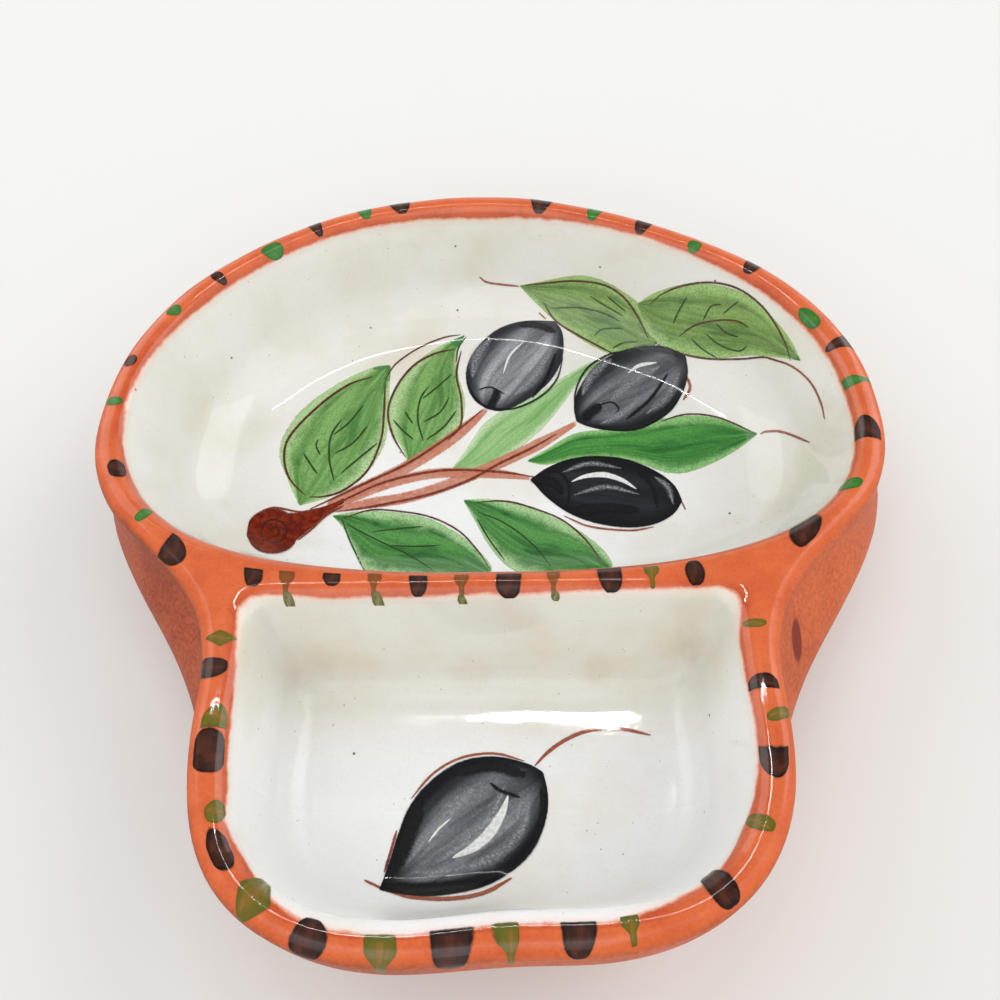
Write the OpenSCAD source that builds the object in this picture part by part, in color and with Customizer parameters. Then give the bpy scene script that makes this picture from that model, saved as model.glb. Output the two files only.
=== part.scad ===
// Olive dish of glazed red earthenware: an oval bowl for the olives, with a
// small tray for the pits luted to its flattened front. Both wells are lined
// with white slip and painted with an olive sprig, and the bare rim carries
// dabs of brown and green. The origin is on the table under the middle of
// the dish. The tray points towards -Y and the rim faces +Z.

/* [Whole dish] */
// Width of the oval bowl over its rim
bowl_w = 201; // [175:1:230]
// Depth of the oval bowl over its rim, up to the tray's side of the divider
bowl_d = 140; // [125:1:165]
// Width of the pit tray over its rim
tray_w = 125; // [110:1:145]
// How far the pit tray stands out in front of the divider
tray_d = 75; // [65:1:95]
// Height of the rim above the table
rim_h = 44; // [41:1:56]

/* [Clay] */
// Thickness of the bowl's wall at the rim
bowl_wall = 7.5; // [6.5:0.5:10]
// Thickness of the tray's wall at the rim
tray_wall = 8.6; // [7:0.2:11]
// Thickness of the clay under the bowl's well
bowl_floor = 7; // [5:0.5:10]
// Thickness of the clay under the tray's well
tray_floor = 9; // [6:0.5:12]
// How far the outer wall draws in from the rim to the base
draw_in = 18; // [12:1:20]
// Width of the hollow at the rim where the bowl's side runs into the tray's
waist_blend = 26; // [18:1:36]
// Width of the same hollow at the belly, where it has filled out
belly_blend = 66; // [48:1:74]
// How far below the rim the belly lies
belly_drop = 20; // [15:1:25]
// How far the hand-shaped rim dips in at the right of the bowl's back
back_dip = 3; // [0:0.5:5]
// How far the tray's rim dips in at the middle of its front
front_dip = 2; // [0:0.5:4]

/* [Foot] */
// Height of the unglazed foot under the base
foot_h = 2.5; // [1.5:0.5:4]
// How far the foot stands in from the base's edge
foot_step = 4; // [3:0.5:8]

/* [Wells] */
// Lean of the bowl's inner wall from upright, in degrees
bowl_lean = 24; // [18:1:30]
// Radius of the cove between the bowl's wall and its floor
bowl_cove = 22; // [14:1:26]
// Lean of the tray's inner wall from upright, in degrees
tray_lean = 14; // [10:1:18]
// Radius of the cove between the tray's wall and its floor
tray_cove = 10; // [7:1:14]
// Roundness of the tray's two corners beside the divider
tray_corner = 14; // [9:1:18]

/* [Slip and paint] */
// Thickness of the white slip lining
slip_t = 0.8; // [0.6:0.1:1.2]
// Thickness of a painted mark with the glaze over it
paint_t = 0.2; // [0.15:0.05:0.3]
// Width of a painted leaf
leaf_w = 21; // [16:1:24]
// Width of a painted olive
olive_w = 25; // [19:1:27]
// Width of a brown or green dab along the rim
dab_w = 7; // [5:0.5:9]

/* [Hidden] */

clay_red = "#C8643A";
foot_red = "#B4603F";
slip_white = "#E6E3D6";
stem_brown = "#8C3A1E";
dab_brown = "#43261C";
dab_green = "#4C7A33";
leaf_greens = ["#5E9A45", "#4F8A3C", "#8DB873", "#4F8A3C", "#5E9A45", "#2F8038", "#2F6B2C", "#3F7F33"];
olive_greys = ["#4A4C50", "#3E4044", "#24262A"];

// Overrun of a cut past the face it goes through
over = 1;
// Directions around an outline, and steps in a rounding, a cove and a wall
around = 72;
round_steps = 4;
cove_steps = 7;
wall_steps = 2;
belly_steps = 6;
// Halvings of the search for an outline, down to a hundredth of a micron
halvings = 30;

dish_d = bowl_d + tray_d;
tray_front_y = -dish_d / 2;
divider_y = tray_front_y + tray_d;
bowl_half_w = bowl_w / 2;
tray_half_w = tray_w / 2;
pit_half_w = tray_half_w - tray_wall;
pit_d = tray_d - tray_wall;

// The oval's widest line, as a share of its depth from the divider
widest_share = 0.415;
front_reach = bowl_d * widest_share;
back_reach = bowl_d - front_reach;
bowl_mid = [0, divider_y + front_reach];
pit_mid = [0, divider_y - pit_d / 2];

// Powers of the rounded outlines: 2 is an ellipse, more is squarer
back_power = 2;
front_power = 2.6;
tray_power = 2.9;
pit_power = 3.3;
// The tray's front is rounded as far back as this share of its depth
tray_round_share = 0.72;
round_y = tray_front_y + tray_d * tray_round_share;
// How closely the points gather at the corners of the tray's well
corner_power = 0.6;

// Places and widths of the two dips in the rim
back_dip_turn = 52;
back_dip_turns = 24;
front_dip_mid = tray_w * 0.04;
front_dip_half = tray_w * 0.16;

// Rounding on each side of the rim's narrow crest, and at the base's edge
rim_round_share = 0.46;
bowl_rim_r = bowl_wall * rim_round_share;
tray_rim_r = tray_wall * rim_round_share;
base_r = bowl_rim_r;
// Power of the outer wall's curve from the rim to the base
belly_power = 3;

// Height of a painted mark's underside over the slip
paint_gap = paint_t * 0.75;
// Step for measuring the slope of a surface
feel = slip_t / 4;

function quad_norm(u, v, n) = pow(pow(abs(u), n) + pow(abs(v), n), 1 / n);
function hump(x) = exp(-x * x);

// Distance outside a rounded outline, less than zero inside it
function oval_gap(p, half_w, half_d, n) =
    let (u = abs(p.x) / half_w, v = abs(p.y) / half_d)
    let (s = quad_norm(u, v, n))
    s == 0 ? -min(half_w, half_d) :
    let (slope_x = pow(u / s, n - 1) / half_w, slope_y = pow(v / s, n - 1) / half_d)
    (s - 1) / norm([slope_x, slope_y]);

function bowl_gap(p) =
    let (q = p - bowl_mid)
    q.y > 0
        ? oval_gap(q, bowl_half_w, back_reach, back_power)
            + back_dip * hump((atan2(q.y, q.x) - back_dip_turn) / back_dip_turns)
        : oval_gap(q, bowl_half_w, front_reach, front_power);

// A trough open to the back, with a round front that dips in at its middle
function trough_gap(p, half_w, front_y, n) =
    p.y > round_y
        ? abs(p.x) - half_w
        : oval_gap([p.x, p.y - round_y], half_w, round_y - front_y, n)
            + front_dip * hump((p.x - front_dip_mid) / front_dip_half) * (round_y - p.y) / (round_y - front_y);

function soft_min(a, b, blend) =
    let (h = max(blend - abs(a - b), 0) / blend)
    min(a, b) - h * h * blend / 4;

function tray_gap(p) = max(trough_gap(p, tray_half_w, tray_front_y, tray_power), p.y - bowl_mid.y);
function dish_gap(p, blend) = soft_min(bowl_gap(p), tray_gap(p), blend);
function well_gap(p) = bowl_gap(p) + bowl_wall;
function pit_gap(p) =
    -soft_min(-trough_gap(p, pit_half_w, tray_front_y + tray_wall, pit_power), divider_y - p.y, tray_corner);

// The outline that is followed: the whole dish's, the bowl well's or the pit's
function gap_of(shape, p, blend) =
    shape == "dish" ? dish_gap(p, blend) :
    shape == "bowl" ? well_gap(p) : pit_gap(p);

function middle_of(shape) =
    shape == "dish" ? [0, 0] :
    shape == "bowl" ? bowl_mid : pit_mid;

function aim(shape, turn) =
    shape == "pit"
        ? [pit_half_w * sign(cos(turn)) * pow(abs(cos(turn)), corner_power),
           pit_d / 2 * sign(sin(turn)) * pow(abs(sin(turn)), corner_power)]
        : bowl_half_w * [cos(turn), sin(turn)];

// How far out along its aim an outline lies, when it is set in by a distance
function reach(shape, way, set_in, blend, near, far, left = halvings) =
    left == 0 ? (near + far) / 2 :
    let (mid = (near + far) / 2)
    gap_of(shape, middle_of(shape) + mid * way, blend) + set_in > 0
        ? reach(shape, way, set_in, blend, near, mid, left - 1)
        : reach(shape, way, set_in, blend, mid, far, left - 1);

function edge_point(shape, turn, set_in, blend) =
    let (way = aim(shape, turn))
    middle_of(shape) + way * reach(shape, way, set_in, blend, 0, 2);

// The hollow beside the tray fills out from the rim down to the belly
wall_top = rim_h - bowl_rim_r;
function blend_at(z) =
    let (t = min(1, max(0, (wall_top - z) / belly_drop)))
    waist_blend + (belly_blend - waist_blend) * t * t * (3 - 2 * t);

// The points of one ring, for a stop of a profile: [set in, height]
function ring(shape, stop) = [
    for (i = [0 : around - 1])
        let (p = edge_point(shape, i * 360 / around, stop[0], blend_at(stop[1])))
        [p.x, p.y, stop[1]]
];

// A closed solid through rings, with flat ends
module loft(rings) {
    n = len(rings[0]);
    last = len(rings) - 1;
    sides = [
        for (j = [0 : last - 1], i = [0 : n - 1])
            let (k = (i + 1) % n)
            each [
                [j * n + i, (j + 1) * n + i, (j + 1) * n + k],
                [j * n + i, (j + 1) * n + k, j * n + k]
            ]
    ];
    ends = [
        [for (i = [0 : n - 1]) i],
        [for (i = [n - 1 : -1 : 0]) last * n + i]
    ];
    polyhedron(points = [for (r = rings) each r], faces = concat(ends, sides), convexity = 6);
}

// The outer wall from its base up, and over the outer half of the rim
wall_base = foot_h + base_r;
function wall_set_in(z) = draw_in * pow((wall_top - z) / (wall_top - foot_h), belly_power);
outer_profile = concat(
    [for (k = [0 : round_steps]) let (a = 90 * k / round_steps)
        [wall_set_in(wall_base) + base_r * (1 - sin(a)), wall_base - base_r * cos(a)]],
    [for (k = [1 : belly_steps]) let (z = wall_base + (wall_top - wall_base) * k / belly_steps)
        [wall_set_in(z), z]],
    [for (k = [1 : round_steps]) let (a = 90 * k / round_steps)
        [bowl_rim_r * (1 - cos(a)), wall_top + bowl_rim_r * sin(a)]]
);

// A well's shape: its depth below the rim, lean, cove and rim rounding
bowl_shape = [rim_h - foot_h - bowl_floor - slip_t, bowl_lean, bowl_cove, bowl_rim_r];
pit_shape = [rim_h - foot_h - tray_floor - slip_t, tray_lean, tray_cove, tray_rim_r];

// Where the straight wall leaves the rim's rounding, and its length
function wall_start(s) = [-s[3] * (1 - cos(s[1])), rim_h - s[3] * (1 + sin(s[1]))];
function wall_length(s) =
    (wall_start(s)[1] - rim_h + s[0] - s[2] * (1 - sin(s[1]))) / cos(s[1]);
function cove_mid(s) =
    wall_start(s) + wall_length(s) * [sin(s[1]), -cos(s[1])] + s[2] * [cos(s[1]), sin(s[1])];

// A well's slipped part from its floor up, grown outwards by a thickness
function slip_profile(s, grow) = concat(
    [for (k = [0 : cove_steps]) let (a = 270 - (90 - s[1]) * k / cove_steps)
        cove_mid(s) + (s[2] + grow) * [cos(a), sin(a)]],
    [for (k = [1 : wall_steps])
        wall_start(s) + wall_length(s) * (1 - k / wall_steps) * [sin(s[1]), -cos(s[1])]
            - grow * [cos(s[1]), sin(s[1])]],
    [[-grow, rim_h - s[3]]]
);

// The bare inner half of the rim, from the edge of the slip to the crest
function lip_profile(s) = [
    for (k = [0 : round_steps]) let (a = 90 * k / round_steps)
        [-s[3] * (1 - cos(a)), rim_h - s[3] * (1 - sin(a))]
];

function reversed(list) = [for (i = [len(list) - 1 : -1 : 0]) list[i]];

module well_cut(shape, s) {
    stops = concat(slip_profile(s, slip_t), lip_profile(s), [[-s[3], rim_h + over]]);
    loft([for (stop = stops) ring(shape, stop)]);
}

module slip_lining(shape, s) {
    stops = concat(slip_profile(s, slip_t), reversed(slip_profile(s, 0)));
    loft([for (stop = stops) ring(shape, stop)]);
}

module clay() {
    difference() {
        loft([for (stop = outer_profile) ring("dish", stop)]);
        well_cut("bowl", bowl_shape);
        well_cut("pit", pit_shape);
    }
}

// Everything in front of the leaning face where the tray is luted on
module tray_side() {
    translate([-bowl_w, divider_y - slip_t, rim_h])
    rotate([-tray_lean, 0, 0])
    translate([0, -2 * dish_d, -2 * rim_h])
    cube([2 * bowl_w, 2 * dish_d, 4 * rim_h]);
}

// Height of the surface under a point, and of the surface's three parts
function well_z(s, set_in) =
    let (mid = cove_mid(s), start = wall_start(s))
    let (foot = start[0] + wall_length(s) * sin(s[1]))
    set_in > mid[0] ? mid[1] - s[2] :
    set_in > foot ? mid[1] - sqrt(pow(s[2], 2) - pow(mid[0] - set_in, 2)) :
    set_in > start[0] ? start[1] - (set_in - start[0]) / tan(s[1]) : start[1];
function fall(r, set_in) = set_in > r ? 0 : r - sqrt(max(0, r * r - pow(r - set_in, 2)));
function rim_z(p) = rim_h - max(
    fall(bowl_rim_r, -dish_gap(p, waist_blend)),
    fall(bowl_rim_r, well_gap(p)),
    fall(tray_rim_r, pit_gap(p)));
function surface_z(shape, p) =
    shape == "bowl" ? well_z(bowl_shape, -well_gap(p)) :
    shape == "pit" ? well_z(pit_shape, -pit_gap(p)) : rim_z(p);

// A point over the surface, lifted square to it
function lifted(shape, p, lift) =
    let (z = surface_z(shape, p))
    let (out = [(z - surface_z(shape, p + [feel, 0])) / feel, (z - surface_z(shape, p + [0, feel])) / feel, 1])
    [p.x, p.y, z] + lift * out / norm(out);

// A painted mark: rows of points laid on a surface as a thin solid
module painted(shape, rows, lift) {
    n = len(rows[0]);
    last = len(rows) - 1;
    flat = [for (r = rows) each r];
    count = len(flat);
    inner = [
        for (j = [0 : last - 1], i = [0 : n - 2])
            let (a = j * n + i, b = a + 1, c = a + n, d = c + 1)
            each [[a, c, d], [a, d, b], [a + count, d + count, c + count], [a + count, b + count, d + count]]
    ];
    edge = concat(
        [for (i = [0 : n - 2]) i],
        [for (j = [0 : last - 1]) j * n + n - 1],
        [for (i = [n - 1 : -1 : 1]) last * n + i],
        [for (j = [last : -1 : 1]) j * n]
    );
    rim = [
        for (i = [0 : len(edge) - 1])
            let (a = edge[i], b = edge[(i + 1) % len(edge)])
            each [[a, b, b + count], [a, b + count, a + count]]
    ];
    polyhedron(
        points = concat(
            [for (p = flat) lifted(shape, p, lift + paint_gap + paint_t)],
            [for (p = flat) lifted(shape, p, lift + paint_gap)]
        ),
        faces = concat(inner, rim)
    );
}

// Rows across a mark that runs from one point to another. Its middle line
// bows aside, and its half width follows a swell along it.
function mark_rows(from, to, half_w, bow, swell, steps, lanes) =
    let (along = to - from, side = [-along.y, along.x] / norm(along))
    [for (j = [0 : steps])
        let (u = j / steps, mid = from + along * u + side * bow * 4 * u * (1 - u))
        let (slope = along + side * bow * 4 * (1 - 2 * u))
        let (out = [-slope.y, slope.x] / norm(slope))
        [for (i = [-lanes : lanes]) mid + out * half_w * swell[j] * i / lanes]];

// Half widths along a leaf, an olive, a stem and a dab, as shares
leaf_shares = [0.06, 0.58, 0.92, 1, 0.93, 0.75, 0.48, 0.22, 0.04];
olive_shares = [0.12, 0.62, 0.86, 0.97, 1, 0.97, 0.86, 0.62, 0.12];
stem_shares = [1.3, 1.15, 1, 0.9, 0.8, 0.75, 0.7, 0.65, 0.6];
dab_shares = [0.45, 0.85, 1, 0.9, 0.5];
knob_shares = [0.4, 0.88, 1, 0.96, 0.8, 0.55, 0.4, 0.34, 0.3];

// Where a dab starts and ends across the rim's wall, and a green one's width
dab_inner_share = 0.1;
dab_outer_share = 0.8;
green_share = 0.8;
// How much further back the divider's ends lie than its middle
divider_bow = bowl_wall * 0.4;
// Directions of the dabs from the middle of each well, and their places
// along the divider
bowl_brown_turns = [-149, -167, 171, 149, 128, 109, 78, 55, 33, 10, -7, -30];
bowl_green_turns = [-157, 180, 159, 138, 117, 66, 44, 17, 2, -18];
tray_brown_turns = [11, -2, -48, -84, -94, -111, -155, 180, 164];
tray_green_turns = [31, 4, -18, -75, -90, -100, -133, -168, 172, 152];
divider_brown_shares = [-0.86, -0.57, -0.27, 0.07, 0.43, 0.74];
divider_green_shares = [-0.72, -0.41, -0.1, 0.23, 0.58];

// Points of the bowl's painting, as shares of its half width and its depth
function bowl_spot(share) = bowl_mid + [share.x * bowl_half_w, share.y * back_reach];

function pit_spot(share) = pit_mid + [share.x * pit_half_w, share.y * pit_d / 2];

// Each leaf: its base, its tip, its width, its bow and its layer of paint
leaf_shares_at = [
    [[-0.54, -0.13], [-0.32, 0.50], 1.14, 0.14, 0],
    [[-0.24, 0.06], [-0.09, 0.65], 1.00, 0.14, 0],
    [[-0.11, 0.01], [0.33, 0.53], 0.80, 0.05, 0],
    [[0.51, 0.54], [0.09, 0.79], 0.46, -0.10, 0],
    [[0.45, 0.66], [0.85, 0.26], 0.55, 0.14, 1],
    [[0.10, 0.03], [0.77, 0.12], 0.90, 0.14, 1],
    [[-0.45, -0.17], [0.03, -0.44], 0.95, 0.02, 0],
    [[-0.08, -0.12], [0.34, -0.42], 1.05, 0.02, 1]
];
// Each olive: its stalk end, its far end, and its width
olive_shares_at = [
    [[0.00, 0.34], [0.15, 0.68], 0.96],
    [[0.26, 0.21], [0.59, 0.49], 1.10],
    [[0.11, -0.03], [0.54, -0.15], 1.00]
];
// Each stem: where it leaves the knob, where it ends, its bow and its layer
stem_shares_at = [
    [[-0.45, -0.125], [0.00, 0.33], -0.9, 1],
    [[-0.45, -0.150], [0.26, 0.21], -1.1, 2],
    [[-0.44, -0.180], [0.11, -0.03], 2.2, 1]
];
layer_t = paint_t + paint_gap;
olive_layer = 3;
stem_half_w = olive_w * 0.06;
knob_half_w = olive_w * 0.36;
tray_stem_half_w = olive_w * 0.03;
tray_stem_bow = tray_stem_half_w * 4;
// Strips across half of a broad mark and of a thin one
broad_lanes = 2;
thin_lanes = 1;

module bowl_mark(from, to, half_w, bow, swell, layer, lanes) {
    painted("bowl", mark_rows(bowl_spot(from), bowl_spot(to), half_w, bow, swell, len(swell) - 1, lanes),
            layer * layer_t);
}

module leaf(i) {
    at = leaf_shares_at[i];
    color(leaf_greens[i])
    bowl_mark(at[0], at[1], leaf_w / 2 * at[2], leaf_w * at[3], leaf_shares, at[4], broad_lanes);
}

module olive(i) {
    at = olive_shares_at[i];
    color(olive_greys[i])
    bowl_mark(at[0], at[1], olive_w / 2 * at[2], 0, olive_shares, olive_layer, broad_lanes);
}

module branch_knob() {
    color(stem_brown)
    bowl_mark([-0.66, -0.29], [-0.46, -0.15], knob_half_w, 0, knob_shares, 0, broad_lanes);
}

module branch_stems() {
    color(stem_brown)
    for (at = stem_shares_at)
        bowl_mark(at[0], at[1], stem_half_w, stem_half_w * at[2], stem_shares, at[3], thin_lanes);
}

module tray_olive() {
    color(olive_greys[2])
    painted("pit", mark_rows(pit_spot([-0.46, -0.66]), pit_spot([0.19, 0.10]), olive_w / 2, 0,
                             olive_shares, len(olive_shares) - 1, broad_lanes), 0);
}

module tray_olive_stem() {
    color(stem_brown)
    painted("pit", mark_rows(pit_spot([0.23, 0.20]), pit_spot([0.69, 0.37]), tray_stem_half_w,
                             tray_stem_bow, stem_shares, len(stem_shares) - 1, thin_lanes), 0);
}

// A dab across the rim, centred on its wall
module dab(mid, across, length, width) {
    painted("rim", mark_rows(mid - across * length / 2, mid + across * length / 2, width / 2, 0,
                             dab_shares, len(dab_shares) - 1, thin_lanes), 0);
}

module rim_dabs(shape, turns, wall) {
    for (turn = turns)
        let (inner = edge_point(shape, turn, -wall * dab_inner_share, 0),
             outer = edge_point(shape, turn, -wall * dab_outer_share, 0))
        dab((inner + outer) / 2, (outer - inner) / norm(outer - inner), norm(outer - inner), dab_w);
}

module divider_dabs(places, tone) {
    for (place = places)
        dab([place * tray_half_w, divider_y + bowl_wall / 2 + divider_bow * pow(place, 2)], [0, -1],
            bowl_wall * (dab_outer_share - dab_inner_share), dab_w * tone);
}

module bowl_rim_brown() { color(dab_brown) rim_dabs("bowl", bowl_brown_turns, bowl_wall); }
module bowl_rim_green() { color(dab_green) rim_dabs("bowl", bowl_green_turns, bowl_wall); }
module tray_rim_brown() { color(dab_brown) rim_dabs("pit", tray_brown_turns, tray_wall); }
module tray_rim_green() { color(dab_green) rim_dabs("pit", tray_green_turns, tray_wall); }
module divider_brown() { color(dab_brown) divider_dabs(divider_brown_shares, 1); }
module divider_green() { color(dab_green) divider_dabs(divider_green_shares, green_share); }

module bowl_body() {
    color(clay_red)
    difference() {
        clay();
        tray_side();
    }
}

module tray_body() {
    color(clay_red)
    intersection() {
        clay();
        tray_side();
    }
}

module foot_pad() {
    stop = [draw_in + base_r + foot_step, foot_h];
    color(foot_red)
    linear_extrude(foot_h)
    polygon([for (p = ring("dish", stop)) [p.x, p.y]]);
}

module bowl_slip() { color(slip_white) slip_lining("bowl", bowl_shape); }
module tray_slip() { color(slip_white) slip_lining("pit", pit_shape); }

bowl_body();
tray_body();
foot_pad();
bowl_slip();
tray_slip();
branch_knob();
branch_stems();
for (i = [1 : len(leaf_shares_at)])
    leaf(i - 1);
for (i = [1 : len(olive_shares_at)])
    olive(i - 1);
tray_olive();
tray_olive_stem();
bowl_rim_brown();
bowl_rim_green();
divider_brown();
divider_green();
tray_rim_brown();
tray_rim_green();
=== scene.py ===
"""Olive dish of glazed red earthenware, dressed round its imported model.

The clay, the slip in both wells and every painted mark are pieces of their
own. Shapes are worked out in millimetres and placed in metres.
"""
import math
from collections import namedtuple

import bmesh
import bpy
import numpy as np
from bpy.props import FloatProperty, FloatVectorProperty, IntProperty, PointerProperty
from mathutils import Matrix, Vector


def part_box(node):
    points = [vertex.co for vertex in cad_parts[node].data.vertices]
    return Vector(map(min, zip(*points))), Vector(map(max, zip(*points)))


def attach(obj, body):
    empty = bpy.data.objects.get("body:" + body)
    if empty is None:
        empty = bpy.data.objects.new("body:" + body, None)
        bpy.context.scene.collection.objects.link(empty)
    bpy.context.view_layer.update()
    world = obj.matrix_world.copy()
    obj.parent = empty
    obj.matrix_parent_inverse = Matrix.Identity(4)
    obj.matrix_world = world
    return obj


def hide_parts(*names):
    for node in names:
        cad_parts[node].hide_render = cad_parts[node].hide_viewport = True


bl_info = {
    "name": "Olive Dish",
    "version": (1, 0, 0),
    "blender": (4, 5, 0),
    "location": "3D View > Sidebar > Olive Dish",
    "description": "Builds a hand-painted earthenware olive dish with a pit tray",
    "category": "Object",
}

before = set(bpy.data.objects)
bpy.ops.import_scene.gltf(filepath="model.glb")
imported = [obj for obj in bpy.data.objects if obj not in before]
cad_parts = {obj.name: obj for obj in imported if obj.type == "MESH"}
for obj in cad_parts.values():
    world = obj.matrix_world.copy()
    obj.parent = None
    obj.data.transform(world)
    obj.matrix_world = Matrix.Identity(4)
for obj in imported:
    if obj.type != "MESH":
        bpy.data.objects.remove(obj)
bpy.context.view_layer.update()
MM = 0.001
RIM_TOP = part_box("bowl_body")[1][2]
# Keeps a division away from zero
TINY = 1e-6

# The camera of the photograph: its place, how far it looks down, how far it
# is rolled, and its focal length as a share of the picture's width
CAMERA_MM = (2.31, -129.67, 226.54)
LOOK_DOWN_DEG = 56.06
ROLL_DEG = -0.71
FOCAL_SHARE = 0.9229
PICTURE = 1000
SENSOR_MM = 36.0
# How a ray of the camera is followed down to the clay: even steps, from just
# over the rim to this height, and then halvings of the step that meets it
CAST_STEPS, CAST_HALVINGS, CAST_LOW_MM = 160, 14, 2


def linear(colour):
    """Linear red, green, blue and alpha of an sRGB hex colour. A colour of
    the panel is linear already."""
    if not isinstance(colour, str):
        return tuple(colour)
    levels = [int(colour[i:i + 2], 16) / 255 for i in (1, 3, 5)]
    return tuple(c / 12.92 if c <= 0.04045 else ((c + 0.055) / 1.055) ** 2.4
                 for c in levels) + (1.0,)


def colour_property(name, description, hex_colour):
    """A colour that a user can change, written as sRGB hex."""
    return FloatVectorProperty(name=name, description=description, subtype="COLOR", size=4,
                               min=0, max=1, default=linear(hex_colour))


def length_property(name, description, metres):
    """A length that a user can change."""
    return FloatProperty(name=name, description=description, default=metres, unit="LENGTH",
                         subtype="DISTANCE", precision=4)


class DishSizes(bpy.types.PropertyGroup):
    """Sizes of the dish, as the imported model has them."""

    rim_height: length_property("Rim height", "Height of the rim above the table", RIM_TOP)
    bowl_width: length_property("Bowl width", "Width of the oval bowl over its rim", 0.201)
    bowl_depth: length_property("Bowl depth", "Depth of the oval bowl, divider included", 0.140)
    tray_width: length_property("Tray width", "Width of the pit tray over its rim", 0.125)
    tray_depth: length_property(
        "Tray depth", "How far the tray stands out in front of the divider", 0.075)
    bowl_wall: length_property("Bowl wall", "Thickness of the bowl's wall at the rim", 0.0075)
    tray_wall: length_property("Tray wall", "Thickness of the tray's wall at the rim", 0.0086)
    slip_thickness: length_property("Slip", "Thickness of the white slip", 0.0008)
    hand_wobble: length_property(
        "Hand wobble", "How far the hand-shaped clay wanders from its outline", 0.0009)
    round_points: IntProperty(
        name="Points around", description="Points around each outline", default=288, min=72)


class DishColours(bpy.types.PropertyGroup):
    """Colours of the clay, the slip and the paints."""

    rim_orange: colour_property("Rim", "Red clay under clear glaze on the rim", "#DA6A39")
    # Also painted as shade on the rim's inner slope, beside the slip
    rim_deep_and_shade: colour_property("Rim, deep", "Where the glaze lies thick on the rim", "#BE4C22")
    wall_salmon: colour_property("Wall", "Red clay of the outer wall", "#D2693E")
    wall_deep: colour_property("Wall, deep", "Grain and shade of the outer wall", "#8E3F28")
    slip_edge: colour_property("Slip edge", "Thin slip that the clay shows through", "#E6A88E")
    slip_white: colour_property("Slip", "White slip under clear glaze", "#F0F1F1")
    # Its mix also paints shade on the back and side walls of the wells
    slip_warm_and_shade: colour_property("Slip, warm", "Faint stains in the slip", "#DBD5C2")
    speck: colour_property("Specks", "Iron specks in the slip", "#3B3A3E")
    knob_brown: colour_property("Knob", "Red-brown of the twig's cut knob", "#5E1202")
    stem_pink: colour_property("Stem wash", "Thin red-brown wash of the stems", "#C8775B")
    stem_brown: colour_property("Stem line", "Full red-brown of the stems", "#6E2610")
    line_brown: colour_property("Leaf outline", "Brown drawn round the leaves", "#4A230F")
    vein_green: colour_property("Leaf vein", "Dark green drawn inside the leaves", "#213F12")
    dab_brown: colour_property("Brown dabs", "Manganese brown of the rim's dabs", "#120806")
    dab_green: colour_property("Bowl's green dabs", "Copper green of the bowl's dabs", "#1F6E24")
    dab_olive: colour_property("Tray's green dabs", "Thin olive green of the tray's dabs",
                               "#566016")


def halve(near, far, is_past, times):
    """Closes in, between near and far, on where is_past turns true."""
    for _ in range(times):
        mid = (near + far) / 2
        past = is_past(mid)
        near, far = np.where(past, near, mid), np.where(past, mid, far)
    return near, far


# A well's depth below the rim, lean of its wall, cove and rounding of its lip
Well = namedtuple("Well", "depth lean cove lip_r")


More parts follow.
